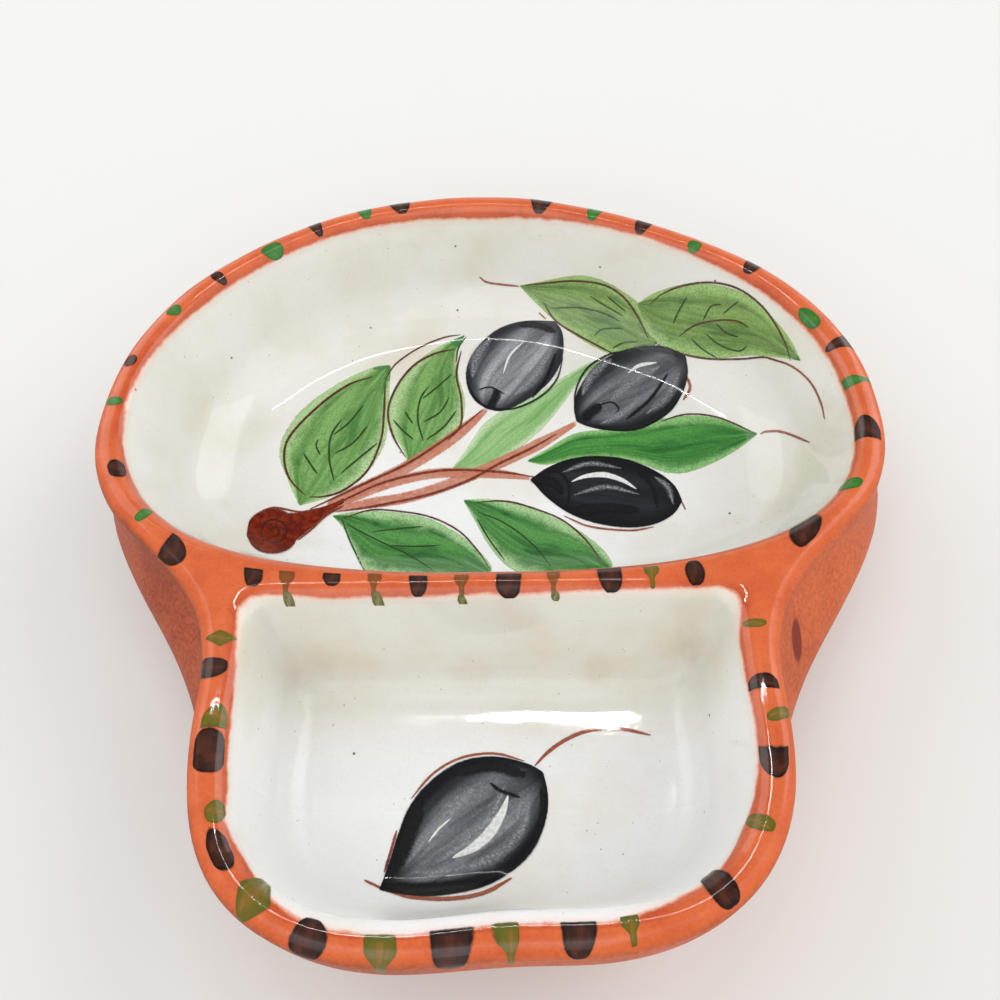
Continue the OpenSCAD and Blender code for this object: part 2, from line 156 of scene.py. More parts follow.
class DishForm:
    """The outlines and profiles of the dish, in millimetres."""

    # Where the bowl is widest, as a share of its depth from the divider, and
    # where the tray starts to round, as a share of its depth from its front
    WIDEST_SHARE, ROUND_SHARE = 0.415, 0.72
    # Powers of the rounded outlines: 2 is an ellipse, and more is squarer
    BACK_POWER, FRONT_POWER, TRAY_POWER, PIT_POWER = 2, 2.6, 2.9, 3.3
    # How the points round the tray's well crowd into its corners, and how
    # softly those corners meet the divider
    CORNER_POWER, TRAY_CORNER = 0.6, 6
    # The rim's rounding, as a share of the wall's thickness
    RIM_ROUND_SHARE = 0.46
    # How far the outer wall draws in down to the base, and its power
    DRAW_IN, BELLY_POWER = 18, 3
    # How softly bowl and tray run together at the rim and lower down, and
    # over what height that changes
    WAIST, BELLY, BELLY_DROP = 26, 66, 20
    # A flatter place at the bowl's back, its turn and its span in degrees
    BACK_DIP, BACK_DIP_TURN, BACK_DIP_TURNS = 3, 52, 24
    # A flatter place in the tray's front, its place and its span as shares
    # of the half-width, and how far the front is skewed
    FRONT_DIP, FRONT_DIP_AT, FRONT_DIP_SPAN, FRONT_SKEW = 2, 0.08, 0.32, 1.1
    # How much fuller the right outer wall is, its turn and its span in
    # degrees, and over what height it fills out
    RIGHT_FULL, RIGHT_TURN, RIGHT_TURNS, RIGHT_DROP = 2.7, -14, 26, 14
    # The foot's height, then the clay under each well, its wall's lean and
    # its cove
    FOOT_H = 2.5
    FLOOR_THICKNESS = {"bowl": 7, "pit": 9}
    WALL_LEAN_DEG = {"bowl": 22, "pit": 13}
    COVE = {"bowl": 22, "pit": 10}
    # Stops up the base's edge, the outer wall and the rim, and up a well's
    # cove and its leaning wall
    BASE_STOPS, WALL_STOPS, RIM_STOPS, COVE_STOPS, LEAN_STOPS = 7, 24, 13, 22, 15
    HALVINGS = 26
    # Angles up a lip, closest together where the lining joins it
    LIP_TURNS = math.pi / 2 * np.linspace(0, 1, 15) ** 1.5

    def __init__(self, sizes):
        self.rim_h = sizes.rim_height / MM
        self.half_w = sizes.bowl_width / MM / 2
        self.tray_half_w = sizes.tray_width / MM / 2
        self.bowl_wall = sizes.bowl_wall / MM
        self.tray_wall = sizes.tray_wall / MM
        self.slip_t = sizes.slip_thickness / MM
        depth, tray_d = sizes.bowl_depth / MM, sizes.tray_depth / MM
        self.front_y = -(depth + tray_d) / 2
        self.divider_y = self.front_y + tray_d
        self.front_reach = depth * self.WIDEST_SHARE
        self.back_reach = depth - self.front_reach
        self.bowl_y = self.divider_y + self.front_reach
        self.pit_half_w = self.tray_half_w - self.tray_wall
        self.pit_d = tray_d - self.tray_wall
        self.pit_y = self.divider_y - self.pit_d / 2
        self.round_y = self.front_y + tray_d * self.ROUND_SHARE
        self.bowl_r = self.bowl_wall * self.RIM_ROUND_SHARE
        self.tray_r = self.tray_wall * self.RIM_ROUND_SHARE
        self.wall_top = self.rim_h - self.bowl_r
        self.wells = {
            shape: Well(self.rim_h - self.FOOT_H - self.FLOOR_THICKNESS[shape] - self.slip_t,
                        math.radians(self.WALL_LEAN_DEG[shape]), self.COVE[shape], lip_r)
            for shape, lip_r in (("bowl", self.bowl_r), ("pit", self.tray_r))}

    def oval_gap(self, x, y, half_w, half_d, power):
        """How far a point lies outside a rounded oval, near enough."""
        u, v = np.abs(x) / half_w, np.abs(y) / half_d
        s = np.maximum((u ** power + v ** power) ** (1 / power), TINY)
        slope = np.hypot((u / s) ** (power - 1) / half_w, (v / s) ** (power - 1) / half_d)
        return (s - 1) / np.maximum(slope, TINY)

    def bowl_gap(self, x, y):
        """The same for the bowl's rim."""
        y = y - self.bowl_y
        turn = np.degrees(np.arctan2(y, x))
        dip = self.BACK_DIP * np.exp(-((turn - self.BACK_DIP_TURN) / self.BACK_DIP_TURNS) ** 2)
        back = self.oval_gap(x, y, self.half_w, self.back_reach, self.BACK_POWER) + dip
        front = self.oval_gap(x, y, self.half_w, self.front_reach, self.FRONT_POWER)
        return np.where(y > 0, back, front)

    def trough_gap(self, x, y, half_w, front_y, power):
        """The same for the tray: straight sides and a rounded front."""
        at = (x / self.tray_half_w - self.FRONT_DIP_AT) / self.FRONT_DIP_SPAN
        deep = self.round_y - front_y
        skewed = y - self.FRONT_SKEW * x / half_w
        front = self.oval_gap(x, skewed - self.round_y, half_w, deep, power)
        front = front + self.FRONT_DIP * np.exp(-at ** 2) * (self.round_y - y) / deep
        return np.where(y > self.round_y, np.abs(x) - half_w, front)

    @staticmethod
    def soft_min(a, b, blend):
        """The lesser of two values, eased where they are close."""
        h = np.maximum(blend - np.abs(a - b), 0) / blend
        return np.minimum(a, b) - h * h * blend / 4

    def gap(self, shape, x, y, blend):
        """How far a point lies outside an outline, less than zero inside."""
        if shape == "bowl":
            return self.bowl_gap(x, y) + self.bowl_wall
        if shape == "pit":
            trough = self.trough_gap(x, y, self.pit_half_w, self.front_y + self.tray_wall,
                                     self.PIT_POWER)
            return -self.soft_min(-trough, self.divider_y - y, self.TRAY_CORNER)
        tray = self.trough_gap(x, y, self.tray_half_w, self.front_y, self.TRAY_POWER)
        return self.soft_min(self.bowl_gap(x, y), np.maximum(tray, y - self.bowl_y), blend)

    def middle(self, shape):
        """The point that an outline's turns go round."""
        return {"dish": (0, 0), "bowl": (0, self.bowl_y), "pit": (0, self.pit_y)}[shape]

    def aim(self, shape, turn):
        """Which way and how far a turn points from there."""
        c, s = np.cos(turn), np.sin(turn)
        if shape != "pit":
            return self.half_w * c, self.half_w * s
        return (self.pit_half_w * np.sign(c) * np.abs(c) ** self.CORNER_POWER,
                self.pit_d / 2 * np.sign(s) * np.abs(s) ** self.CORNER_POWER)

    def edge(self, shape, turn, set_in=0.0, blend=WAIST):
        """Points of an outline that is set in, at these turns in radians."""
        turn = np.asarray(turn, float)
        x0, y0 = self.middle(shape)
        ax, ay = self.aim(shape, turn)
        near, far = halve(
            np.zeros_like(turn), np.full_like(turn, 2.0),
            lambda mid: self.gap(shape, x0 + mid * ax, y0 + mid * ay, blend) + set_in > 0,
            self.HALVINGS)
        mid = (near + far) / 2
        return x0 + mid * ax, y0 + mid * ay

    def blend_at(self, z):
        """How softly bowl and tray run together at a height."""
        t = min(1, max(0, (self.wall_top - z) / self.BELLY_DROP))
        return self.WAIST + (self.BELLY - self.WAIST) * t * t * (3 - 2 * t)

    def wall_set_in(self, z):
        """How far the outer wall is drawn in at a height."""
        down = (self.wall_top - z) / (self.wall_top - self.FOOT_H)
        return self.DRAW_IN * down ** self.BELLY_POWER

    def outer_profile(self):
        """Stops from the base's edge up to the rim's crest: set in, height."""
        r, base = self.bowl_r, self.FOOT_H + self.bowl_r
        stops = [(self.wall_set_in(base) + r * (1 - math.sin(a)), base - r * math.cos(a))
                 for a in np.linspace(0, math.pi / 2, self.BASE_STOPS)]
        stops += [(self.wall_set_in(z), z)
                  for z in np.linspace(base, self.wall_top, self.WALL_STOPS)[1:]]
        return stops + [(r * (1 - math.cos(a)), self.wall_top + r * math.sin(a))
                        for a in np.linspace(0, math.pi / 2, self.RIM_STOPS)[1:]]

    def well_parts(self, shape):
        """A well's wall start, wall length and cove middle. The wall starts
        at the slip's edge, and its line runs on into the rim's rounding."""
        depth, lean, cove, r = self.wells[shape]
        start = (r * (1 / math.cos(lean) - 1), self.rim_h - r)
        length = (start[1] - self.rim_h + depth - cove * (1 - math.sin(lean))) / math.cos(lean)
        mid = (start[0] + length * math.sin(lean) + cove * math.cos(lean),
               start[1] - length * math.cos(lean) + cove * math.sin(lean))
        return start, length, mid

    def slip_profile(self, shape, grow):
        """Stops of a well's slipped part, from its floor up to the rim."""
        _, lean, cove, _ = self.wells[shape]
        start, _, mid = self.well_parts(shape)
        stops = [(mid[0] + (cove + grow) * math.cos(a), mid[1] + (cove + grow) * math.sin(a))
                 for a in np.linspace(-math.pi / 2, -math.pi + lean, self.COVE_STOPS)]
        foot, top = np.array(stops[-1]), np.array([start[0] - grow / math.cos(lean), start[1]])
        return stops + [tuple(foot + (top - foot) * k)
                        for k in np.linspace(0, 1, self.LEAN_STOPS)[1:]]

    def lip_profile(self, shape):
        """Stops over a well's lip, from the slip's edge to the crest."""
        _, lean, _, r = self.wells[shape]
        rise = r * np.sin(np.maximum(self.LIP_TURNS, lean))
        share = np.minimum(self.LIP_TURNS / lean, 1)
        rise = np.where(share < 1, r * math.sin(lean) * share, rise)
        inwards = np.where(share < 1, r * (1 / math.cos(lean) - 1) - rise * math.tan(lean),
                           -r * (1 - np.cos(self.LIP_TURNS)))
        return list(zip(inwards, self.rim_h - r + rise))

    def ring(self, shape, stop, count):
        """The closed ring of points at one stop of a profile."""
        turn = np.linspace(0, 2 * math.pi, count + 1)
        x, y = self.edge(shape, turn, stop[0], self.blend_at(stop[1]))
        if shape == "dish":
            # The hand-made wall is fuller on the right, below the rim
            off = (np.degrees(turn) - self.RIGHT_TURN + 180) % 360 - 180
            below = min(1, max(0, (self.wall_top - stop[1]) / self.RIGHT_DROP))
            x = x + self.RIGHT_FULL * below * np.exp(-(off / self.RIGHT_TURNS) ** 2)
        return np.stack([x, y, np.full_like(x, stop[1])], axis=1)

    def well_z(self, shape, x, y):
        """Height of a well's slipped surface, or the rim's outside it."""
        _, lean, cove, _ = self.wells[shape]
        start, length, mid = self.well_parts(shape)
        set_in = -self.gap(shape, x, y, self.WAIST)
        foot = start[0] + length * math.sin(lean)
        wall = start[1] - (set_in - start[0]) / math.tan(lean)
        bend = mid[1] - np.sqrt(np.maximum(cove ** 2 - (mid[0] - set_in) ** 2, 0))
        z = np.where(set_in > start[0], wall, self.rim_h)
        z = np.where(set_in > foot, bend, z)
        return np.where(set_in > mid[0], mid[1] - cove, z)


def camera_axes():
    """The camera's right, up and forward directions."""
    down, roll = math.radians(LOOK_DOWN_DEG), math.radians(ROLL_DEG)
    forward = Vector((0, math.cos(down), -math.sin(down)))
    right = Vector((1, 0, 0))
    up = right.cross(forward)
    right, up = (right * math.cos(roll) + up * math.sin(roll),
                 up * math.cos(roll) - right * math.sin(roll))
    return right, up, forward


def cast(form, shape, spots):
    """Where the camera's rays through spots of the picture meet a well."""
    right, up, forward = (np.array(v) for v in camera_axes())
    spots = np.asarray(spots, float)
    sideways = (spots[..., 0:1] - PICTURE / 2) / (PICTURE * FOCAL_SHARE)
    upwards = (PICTURE / 2 - spots[..., 1:2]) / (PICTURE * FOCAL_SHARE)
    ray = forward + sideways * right + upwards * up
    eye = np.array(CAMERA_MM)

    def gap_at(t):
        at = eye + ray * t[..., None]
        return at[..., 2] - form.well_z(shape, at[..., 0], at[..., 1])

    top, low = ((height - eye[2]) / ray[..., 2] for height in (form.rim_h + 1, CAST_LOW_MM))
    near, far = top, low
    before = gap_at(top)
    for k in range(1, CAST_STEPS + 1):
        t = top + (low - top) * k / CAST_STEPS
        here = gap_at(t)
        crossed = (before > 0) & (here <= 0)
        near = np.where(crossed, top + (low - top) * (k - 1) / CAST_STEPS, near)
        far = np.where(crossed, t, far)
        before = here
    near, far = halve(near, far, lambda mid: gap_at(mid) <= 0, CAST_HALVINGS)
    return eye + ray * ((near + far) / 2)[..., None]


# Modelling

# The widest gap that a seam is merged over, the sharpest edge that is shaded
# smooth, and the size of the wander that a hand leaves in clay
SEAM_GAP_MM, SMOOTH_TO_DEG, WANDER_MM = 0.002, 40, 34


def start_grid(name, across, along):
    """A flat grid, alone in the selection, to be shaped into a piece."""
    bpy.ops.object.select_all(action="DESELECT")
    bpy.ops.mesh.primitive_grid_add(x_subdivisions=across, y_subdivisions=along, size=1)
    piece = bpy.context.object
    piece.name = piece.data.name = name
    return piece


def put_points(piece, points_mm):
    """Moves the grid's points to their places, row after row."""
    points = np.asarray(points_mm, float).reshape(-1, 3) * MM
    piece.data.vertices.foreach_set("co", points.ravel())
    piece.data.update()


def pick(*pieces):
    """Selects just these pieces, the last one active."""
    bpy.ops.object.select_all(action="DESELECT")
    for piece in pieces:
        piece.select_set(True)
        bpy.context.view_layer.objects.active = piece


def in_edit_mode(piece, *steps):
    """Runs edit-mode operators on all of a piece."""
    pick(piece)
    bpy.ops.object.mode_set(mode="EDIT")
    bpy.ops.mesh.select_all(action="SELECT")
    for step in steps:
        step()
    bpy.ops.object.mode_set(mode="OBJECT")


def merge_seam():
    bpy.ops.mesh.remove_doubles(threshold=SEAM_GAP_MM * MM)


def fill_openings():
    bpy.ops.mesh.select_all(action="DESELECT")
    bpy.ops.mesh.select_mode(type="EDGE")
    bpy.ops.mesh.select_non_manifold(extend=False)
    bpy.ops.mesh.fill(use_beauty=True)
    bpy.ops.mesh.select_mode(type="VERT")
    bpy.ops.mesh.select_all(action="SELECT")


def face_outwards():
    bpy.ops.mesh.normals_make_consistent(inside=False)


def joined(name, pieces):
    """One piece from several, under a new name."""
    pick(*pieces)
    if len(pieces) > 1:
        bpy.ops.object.join()
    piece = bpy.context.object
    piece.name = piece.data.name = name
    return piece


def apply_modifier(piece, kind, **settings):
    """Adds a modifier, sets it and applies it."""
    pick(piece)
    modifier = piece.modifiers.new(kind.title(), kind)
    for name, value in settings.items():
        setattr(modifier, name, value)
    bpy.ops.object.modifier_apply(modifier=modifier.name)


def wobble(piece, sizes):
    """The slow wander that a hand leaves in clay, the same for every piece."""
    texture = bpy.data.textures.get("hand_wobble")
    if texture is None:
        texture = bpy.data.textures.new("hand_wobble", "CLOUDS")
        texture.cloud_type = "COLOR"
        texture.noise_scale = WANDER_MM * MM
        texture.noise_depth = 1
    apply_modifier(piece, "DISPLACE", texture=texture, texture_coords="LOCAL",
                   direction="RGB_TO_XYZ", mid_level=0.5, strength=sizes.hand_wobble)


def mark_slip_edge(piece, distances):
    """Writes how far outside the slip's edge each point lies, in millimetres,
    measured over the rim and down the outer wall."""
    attribute = piece.data.attributes.new("slip_edge", "FLOAT", "POINT")
    attribute.data.foreach_set("value", np.asarray(distances, np.float32).ravel())


def slip_creep(shape, count):
    """How far the slip runs up over a well's lip at each of its points."""
    turns, reach = zip(*SLIP_CREEP[shape])
    return np.interp(np.linspace(0, 360, count + 1), turns, reach, period=360)


def finish_piece(piece, material, nodes=()):
    """Gives a piece its material, its shading and its place in the frame."""
    pick(piece)
    bpy.ops.object.shade_smooth_by_angle(angle=math.radians(SMOOTH_TO_DEG))
    piece.data.materials.clear()
    piece.data.materials.append(material)
    if nodes:
        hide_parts(*nodes)
    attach(piece, "root")


def shrunk_rings(ring, middle, shares):
    """Copies of a ring drawn in towards a middle point."""
    centre = np.array([middle[0], middle[1], 0.0])
    rings = []
    for share in shares:
        inner = ring.copy()
        inner[:, :2] = centre[:2] + (ring[:, :2] - centre[:2]) * share
        rings.append(inner)
    return rings


# The slip lining of each well, and where a well's floor has its rings
LININGS = {"bowl": "bowl_slip_lining", "pit": "tray_slip_lining"}
FLOOR_SHARES = (0.93, 0.84, 0.74, 0.63, 0.52, 0.40, 0.28, 0.17, 0.07, 0.0)
# How thick a mark's paint is in mm, and how far each kind is lifted off what
# it lies on, so that a later layer of strokes lies over an earlier one
PAINT_MM = 0.06
LIFT_MM = {
    "leaf": 0.04, "upper leaf": 0.07, "stem": 0.1, "tendril": 0.11, "leaf line": 0.12,
    "knob": 0.13, "olive": 0.13, "olive_greys": 0.16, "stem line": 0.17, "olive_darks": 0.18,
    "knob ring": 0.19, "olive_lights": 0.2, "tray line": 0.08, "faint dab": 0.04,
    "green dab": 0.06, "brown dab": 0.09,
}
# The distance from the slip's edge that stands for the rim's crest, in mm
CREST = 9.0
# How far the slip runs up over each well's lip: turn in degrees, and mm
SLIP_CREEP = {
    "bowl": ((0, 0.3), (30, 0.8), (52, 2.2), (70, 1.5), (92, -0.4), (105, 0.6), (130, 1.3),
             (155, 0.8), (180, 3.0), (195, 0.4), (215, 1.5), (320, 1.5), (340, 0.8)),
    "pit": ((0, 2.4), (28, 1.6), (43, 4.2), (58, 4.0), (85, 3.0), (115, 2.4), (140, 4.4),
            (155, 3.4), (185, 1.2), (195, 3.0), (212, 1.4), (240, 4.6), (260, 5.6), (282, 5.4),
            (300, 3.0), (315, 3.0), (337, 0.2)),
}


def ring_grid(name, rings, distances):
    """A piece from closed rings, each at its distance from the slip's edge."""
    count = len(rings[0]) - 1
    piece = start_grid(name, count, len(rings) - 1)
    put_points(piece, np.stack(rings))
    mark_slip_edge(piece, np.broadcast_to(distances, (len(rings), count + 1)))
    return piece


def smooth_line(points, count):
    """A smooth line through points, as evenly spaced points."""
    p = np.asarray(points, float)
    if len(p) == 2:
        return p[0] + (p[1] - p[0]) * np.linspace(0, 1, count)[:, None]
    p = np.vstack([2 * p[0] - p[1], p, 2 * p[-1] - p[-2]])
    t = np.linspace(0, 1, 12, endpoint=False)[:, None]
    line = []
    for a, b, c, d in zip(p[:-3], p[1:-2], p[2:-1], p[3:]):
        line.append(0.5 * (2 * b + (c - a) * t + (2 * a - 5 * b + 4 * c - d) * t ** 2
                           + (3 * b - a - 3 * c + d) * t ** 3))
    line = np.vstack(line + [p[-2:-1]])
    run = np.concatenate([[0], np.cumsum(np.linalg.norm(np.diff(line, axis=0), axis=1))])
    want = np.linspace(0, run[-1], count)
    return np.stack([np.interp(want, run, line[:, k]) for k in range(line.shape[1])], axis=1)


def lay_on(piece, ground, sizes, kind):
    """Lays a painted mark on the surface under it, as a thin skin."""
    lift_mm = LIFT_MM[kind]
    wobble(piece, sizes)
    apply_modifier(piece, "SHRINKWRAP", target=ground, wrap_method="NEAREST_SURFACEPOINT",
                   wrap_mode="ABOVE_SURFACE", offset=lift_mm * MM)
    in_edit_mode(piece, face_up)
    apply_modifier(piece, "SOLIDIFY", thickness=(PAINT_MM + lift_mm) * MM, offset=-1)


def face_up():
    """Turns a mark's faces up out of the well, if they point down."""
    mesh = bmesh.from_edit_mesh(bpy.context.object.data)
    if sum(face.normal.z * face.calc_area() for face in mesh.faces) < 0:
        bpy.ops.mesh.flip_normals()


# A brush line's points across and along it, and how much wider than its
# paint it is laid
STROKE_LANES, STROKE_STEPS, FADE_ROOM = 4, 28, 1.7


def patch(form, name, shape, left, right, lanes=12, steps=36):
    """A mark between two sides, each given by spots of the picture."""
    a, b = smooth_line(left, steps + 1), smooth_line(right, steps + 1)
    share = np.linspace(0, 1, lanes + 1)[None, :, None]
    piece = start_grid(name, lanes, steps)
    put_points(piece, cast(form, shape, a[:, None] * (1 - share) + b[:, None] * share))
    return piece


def stroke(form, name, shape, spots, width, crescent):
    """A brush line through spots of the picture, thinner at its two ends.
    Its paint fades at both sides, so it is laid wider than it looks."""
    line = smooth_line(spots, STROKE_STEPS + 1)
    way = np.gradient(line, axis=0)
    side = np.stack([-way[:, 1], way[:, 0]], axis=1)
    side /= np.maximum(np.linalg.norm(side, axis=1, keepdims=True), TINY)
    u = np.linspace(0, 1, STROKE_STEPS + 1)
    swell = np.minimum(1, 0.35 + 4 * np.minimum(u, 1 - u))
    if crescent:
        swell = 0.06 + np.sin(math.pi * u) ** 0.8
    across = np.linspace(-0.5, 0.5, STROKE_LANES + 1)[None, :, None]
    half = side * (swell * width * FADE_ROOM)[:, None]
    piece = start_grid(name, STROKE_LANES, STROKE_STEPS)
    put_points(piece, cast(form, shape, line[:, None] + half[:, None] * across))
    return piece


# Materials. Their patterns' sizes are in millimetres.

SMOOTH = {"interpolation_type": "SMOOTHSTEP"}
# A colour mix takes its share in socket 0, and its colours in 6 and 7
COLOUR_MIX = {"data_type": "RGBA", "out": 2}


def add_node(tree, kind, sockets=(), out=0, **settings):
    """Adds a node and gives back one of its outputs. Its sockets, by name or
    in their own order, each get a value, or a link from another output."""
    made = tree.nodes.new("ShaderNode" + kind)
    for name, value in settings.items():
        setattr(made, name, value)
    for name, value in sockets.items() if isinstance(sockets, dict) else enumerate(sockets):
        if isinstance(value, bpy.types.NodeSocket):
            tree.links.new(value, made.inputs[name])
        else:
            made.inputs[name].default_value = value
    return made.outputs[out]


def new_material(name):
    """An empty node material, with its Principled shader."""
    material = bpy.data.materials.new(name)
    material.use_nodes = True
    tree = material.node_tree
    tree.nodes.clear()
    output = tree.nodes.new("ShaderNodeOutputMaterial")
    shader = tree.nodes.new("ShaderNodeBsdfPrincipled")
    tree.links.new(shader.outputs[0], output.inputs["Surface"])
    return material, tree, shader


def set_surface(tree, shader, colour, roughness=0.35, coat=1.0, coat_roughness=0.04,
                alpha=1.0, height=None, height_mm=0.02):
    """Fills in the shader: a matt body under clear glaze, and its relief."""
    links = {"Base Color": colour, "Roughness": roughness, "Coat Weight": coat,
             "Coat Roughness": coat_roughness, "Alpha": alpha}
    for name, value in links.items():
        if isinstance(value, bpy.types.NodeSocket):
            tree.links.new(value, shader.inputs[name])
        else:
            shader.inputs[name].default_value = value
    # The glaze wets the body, so only the glaze's own face reflects
    shader.inputs["Specular IOR Level"].default_value = 0.1
    shader.inputs["Coat IOR"].default_value = 1.5
    if height is not None:
        bump = add_node(tree, "Bump", {"Height": height, "Strength": 1.0,
                                       "Distance": height_mm * MM})
        tree.links.new(bump, shader.inputs["Normal"])
        tree.links.new(bump, shader.inputs["Coat Normal"])


def lumps(place, size_mm, detail=2.0, roughness=0.5):
    """Sockets of a noise whose lumps measure about this many millimetres."""
    return {"Vector": place, "Scale": 1 / (size_mm * MM), "Detail": detail,
            "Roughness": roughness}


def mottle(tree, place, size_mm, detail, roughness, low, high, most=1):
    """Soft patches cut from noise, from 0 between them up to their most."""
    grain = add_node(tree, "TexNoise", lumps(place, size_mm, detail, roughness))
    return add_node(tree, "MapRange", (grain, low, high, 0, most), **SMOOTH)


def specks(tree, place, spacing_mm, radius_mm, share):
    """1 on round specks of about one size, 0 elsewhere."""
    radius = radius_mm / spacing_mm
    away = add_node(tree, "TexVoronoi", {"Vector": place, "Scale": 1 / (spacing_mm * MM),
                                         "Randomness": 1.0}, "Distance")
    near = add_node(tree, "MapRange", (away, 0.6 * radius, 1.2 * radius, 1, 0), **SMOOTH)
    level = add_node(tree, "SeparateColor", (away.node.outputs["Color"],))
    chosen = add_node(tree, "Math", (level, share), operation="LESS_THAN")
    return add_node(tree, "Math", (near, chosen), operation="MULTIPLY")


def slip_look(tree, colours):
    """White slip: faint warm stains, painted shade on the walls of the wells, a fine grain and
    iron specks.
    """
    place = add_node(tree, "TexCoord", out="Object")
    x = add_node(tree, "SeparateXYZ", (place,), "X")
    y = x.node.outputs["Y"]
    # Warmer and darker towards the back and the sides of each well: partly thinner slip, and
    # partly painted shade on the walls there, where less light falls
    bowl_back = add_node(tree, "MapRange", (y, 10 * MM, 80 * MM, 0, 0.42), **SMOOTH)
    tray_back = add_node(tree, "MapRange", (y, -62 * MM, -38 * MM), **SMOOTH)
    divider = add_node(tree, "MapRange", (y, -30 * MM, -14 * MM, 0.6, 0), **SMOOTH)
    tray_back = add_node(tree, "Math", (tray_back, divider), operation="MULTIPLY")
    warm = add_node(tree, "Math", (bowl_back, tray_back), operation="MAXIMUM")
    sides = add_node(tree, "Math", (x,), operation="ABSOLUTE")
    sides = add_node(tree, "MapRange", (sides, 35 * MM, 85 * MM, 0, 0.4), **SMOOTH)
    warm = add_node(tree, "Math", (warm, sides), operation="MAXIMUM")
    patches = mottle(tree, place, 26, 3, 0.55, 0.45, 0.75, 0.4)
    warm = add_node(tree, "Math", (warm, patches), operation="ADD", use_clamp=True)
    colour = add_node(tree, "Mix", {0: warm, 6: linear(colours.slip_white),
                                    7: linear(colours.slip_warm_and_shade)}, **COLOUR_MIX)
    for spot, radius_mm, share in STAINS:
        away = add_node(tree, "VectorMath", (place, [value * MM for value in spot]), "Value",
                        operation="DISTANCE")
        uneven = add_node(tree, "TexNoise", lumps(place, 5, 3, 0.7))
        uneven = add_node(tree, "Math", (uneven, -radius_mm * MM, away),
                          operation="MULTIPLY_ADD")
        stain = add_node(tree, "MapRange", (uneven, -radius_mm * 0.4 * MM,
                                            radius_mm * 0.6 * MM, share, 0), **SMOOTH)
        colour = add_node(tree, "Mix", {0: stain, 6: colour, 7: linear("#C2AE84")}, **COLOUR_MIX)
    grain = mottle(tree, place, 0.7, 3, 0.7, 0.52, 0.76, 0.2)
    colour = add_node(tree, "Mix", {0: grain, 6: colour, 7: linear("#B8AE97")}, **COLOUR_MIX)
    big, small = specks(tree, place, 5.5, 0.4, 0.17), specks(tree, place, 2.6, 0.2, 0.22)
    big = add_node(tree, "Math", (big, 0.9), operation="MULTIPLY")
    small = add_node(tree, "Math", (small, 0.55), operation="MULTIPLY")
    spots = add_node(tree, "Math", (big, small), operation="MAXIMUM")
    return add_node(tree, "Mix", {0: spots, 6: colour, 7: linear(colours.speck)}, **COLOUR_MIX)


def clay_look(tree, colours, out):
    """Red clay: orange under the rim's thick glaze, salmon on the wall. Gives
    the colour, how thin the glaze is, and the wall's open grain."""
    place = add_node(tree, "TexCoord", out="Object")
    uneven = add_node(tree, "TexNoise", lumps(place, 12, 3, 0.6))
    uneven = add_node(tree, "Math", (uneven, 3.0, out), operation="MULTIPLY_ADD")
    wall = add_node(tree, "MapRange", (uneven, CREST + 3.6, CREST + 6.2), **SMOOTH)
    share = add_node(tree, "Math", (mottle(tree, place, 9, 4, 0.65, 0.36, 0.72, 0.5),
                                    mottle(tree, place, 0.8, 3, 0.75, 0.4, 0.72, 0.3)),
                     operation="ADD")
    # Glaze runs down off the crest and lies thicker and redder near the slip, and painted shade
    # darkens the rim's inner slope there
    pooled = add_node(tree, "MapRange", (out, 0.2, 3.6, 0.5, 0), **SMOOTH)
    share = add_node(tree, "Math", (share, pooled), operation="ADD", use_clamp=True)
    rim = add_node(tree, "Mix", {0: share, 6: linear(colours.rim_orange),
                                 7: linear(colours.rim_deep_and_shade)}, **COLOUR_MIX)
    grain = mottle(tree, place, 1.0, 4, 0.75, 0.36, 0.68)
    broad = mottle(tree, place, 26, 3, 0.6, 0.35, 0.7, 0.3)
    share = add_node(tree, "Math", (grain, 0.45, broad), operation="MULTIPLY_ADD")
    # Painted shade: the outer wall is made darker and browner towards the left, the side that
    # faces away from the light
    x = add_node(tree, "SeparateXYZ", (place,), "X")
    dry = add_node(tree, "MapRange", (x, -75 * MM, 40 * MM, 0.5, 0), **SMOOTH)
    share = add_node(tree, "Math", (share, dry), operation="ADD", use_clamp=True)
    side = add_node(tree, "Mix", {0: share, 6: linear(colours.wall_salmon),
                                  7: linear(colours.wall_deep)}, **COLOUR_MIX)
    pits = add_node(tree, "Math", (specks(tree, place, 3.4, 0.28, 0.3), 0.6),
                    operation="MULTIPLY")
    side = add_node(tree, "Mix", {0: pits, 6: side, 7: linear("#5E2A1C")}, **COLOUR_MIX)
    colour = add_node(tree, "Mix", {0: wall, 6: rim, 7: side}, **COLOUR_MIX)
    thin_glaze = add_node(tree, "MapRange", (uneven, CREST + 1.2, CREST + 4.4), **SMOOTH)
    return (wall_drip(tree, place, colour), thin_glaze,
            add_node(tree, "Math", (grain, wall), operation="MULTIPLY"))


def wall_drip(tree, place, colour):
    """A maroon drop of paint that ran on to the right outer wall."""
    # A mapping scales, then turns, then moves; here the order is the reverse
    away = add_node(tree, "Mapping", {"Vector": place,
                                      "Location": [-value * MM for value in DRIP_PLACE]})
    away = add_node(tree, "Mapping", {"Vector": away, "Rotation": (math.radians(-32), 0, 0)})
    away = add_node(tree, "Mapping", {"Vector": away, "Scale": (0.8, 0.36, 1)})
    away = add_node(tree, "VectorMath", (away,), "Value", operation="LENGTH")
    drop = add_node(tree, "MapRange", (away, 1.5 * MM, 2.1 * MM, 0.85, 0), **SMOOTH)
    return add_node(tree, "Mix", {0: drop, 6: colour, 7: linear("#6E1F1C")}, **COLOUR_MIX)


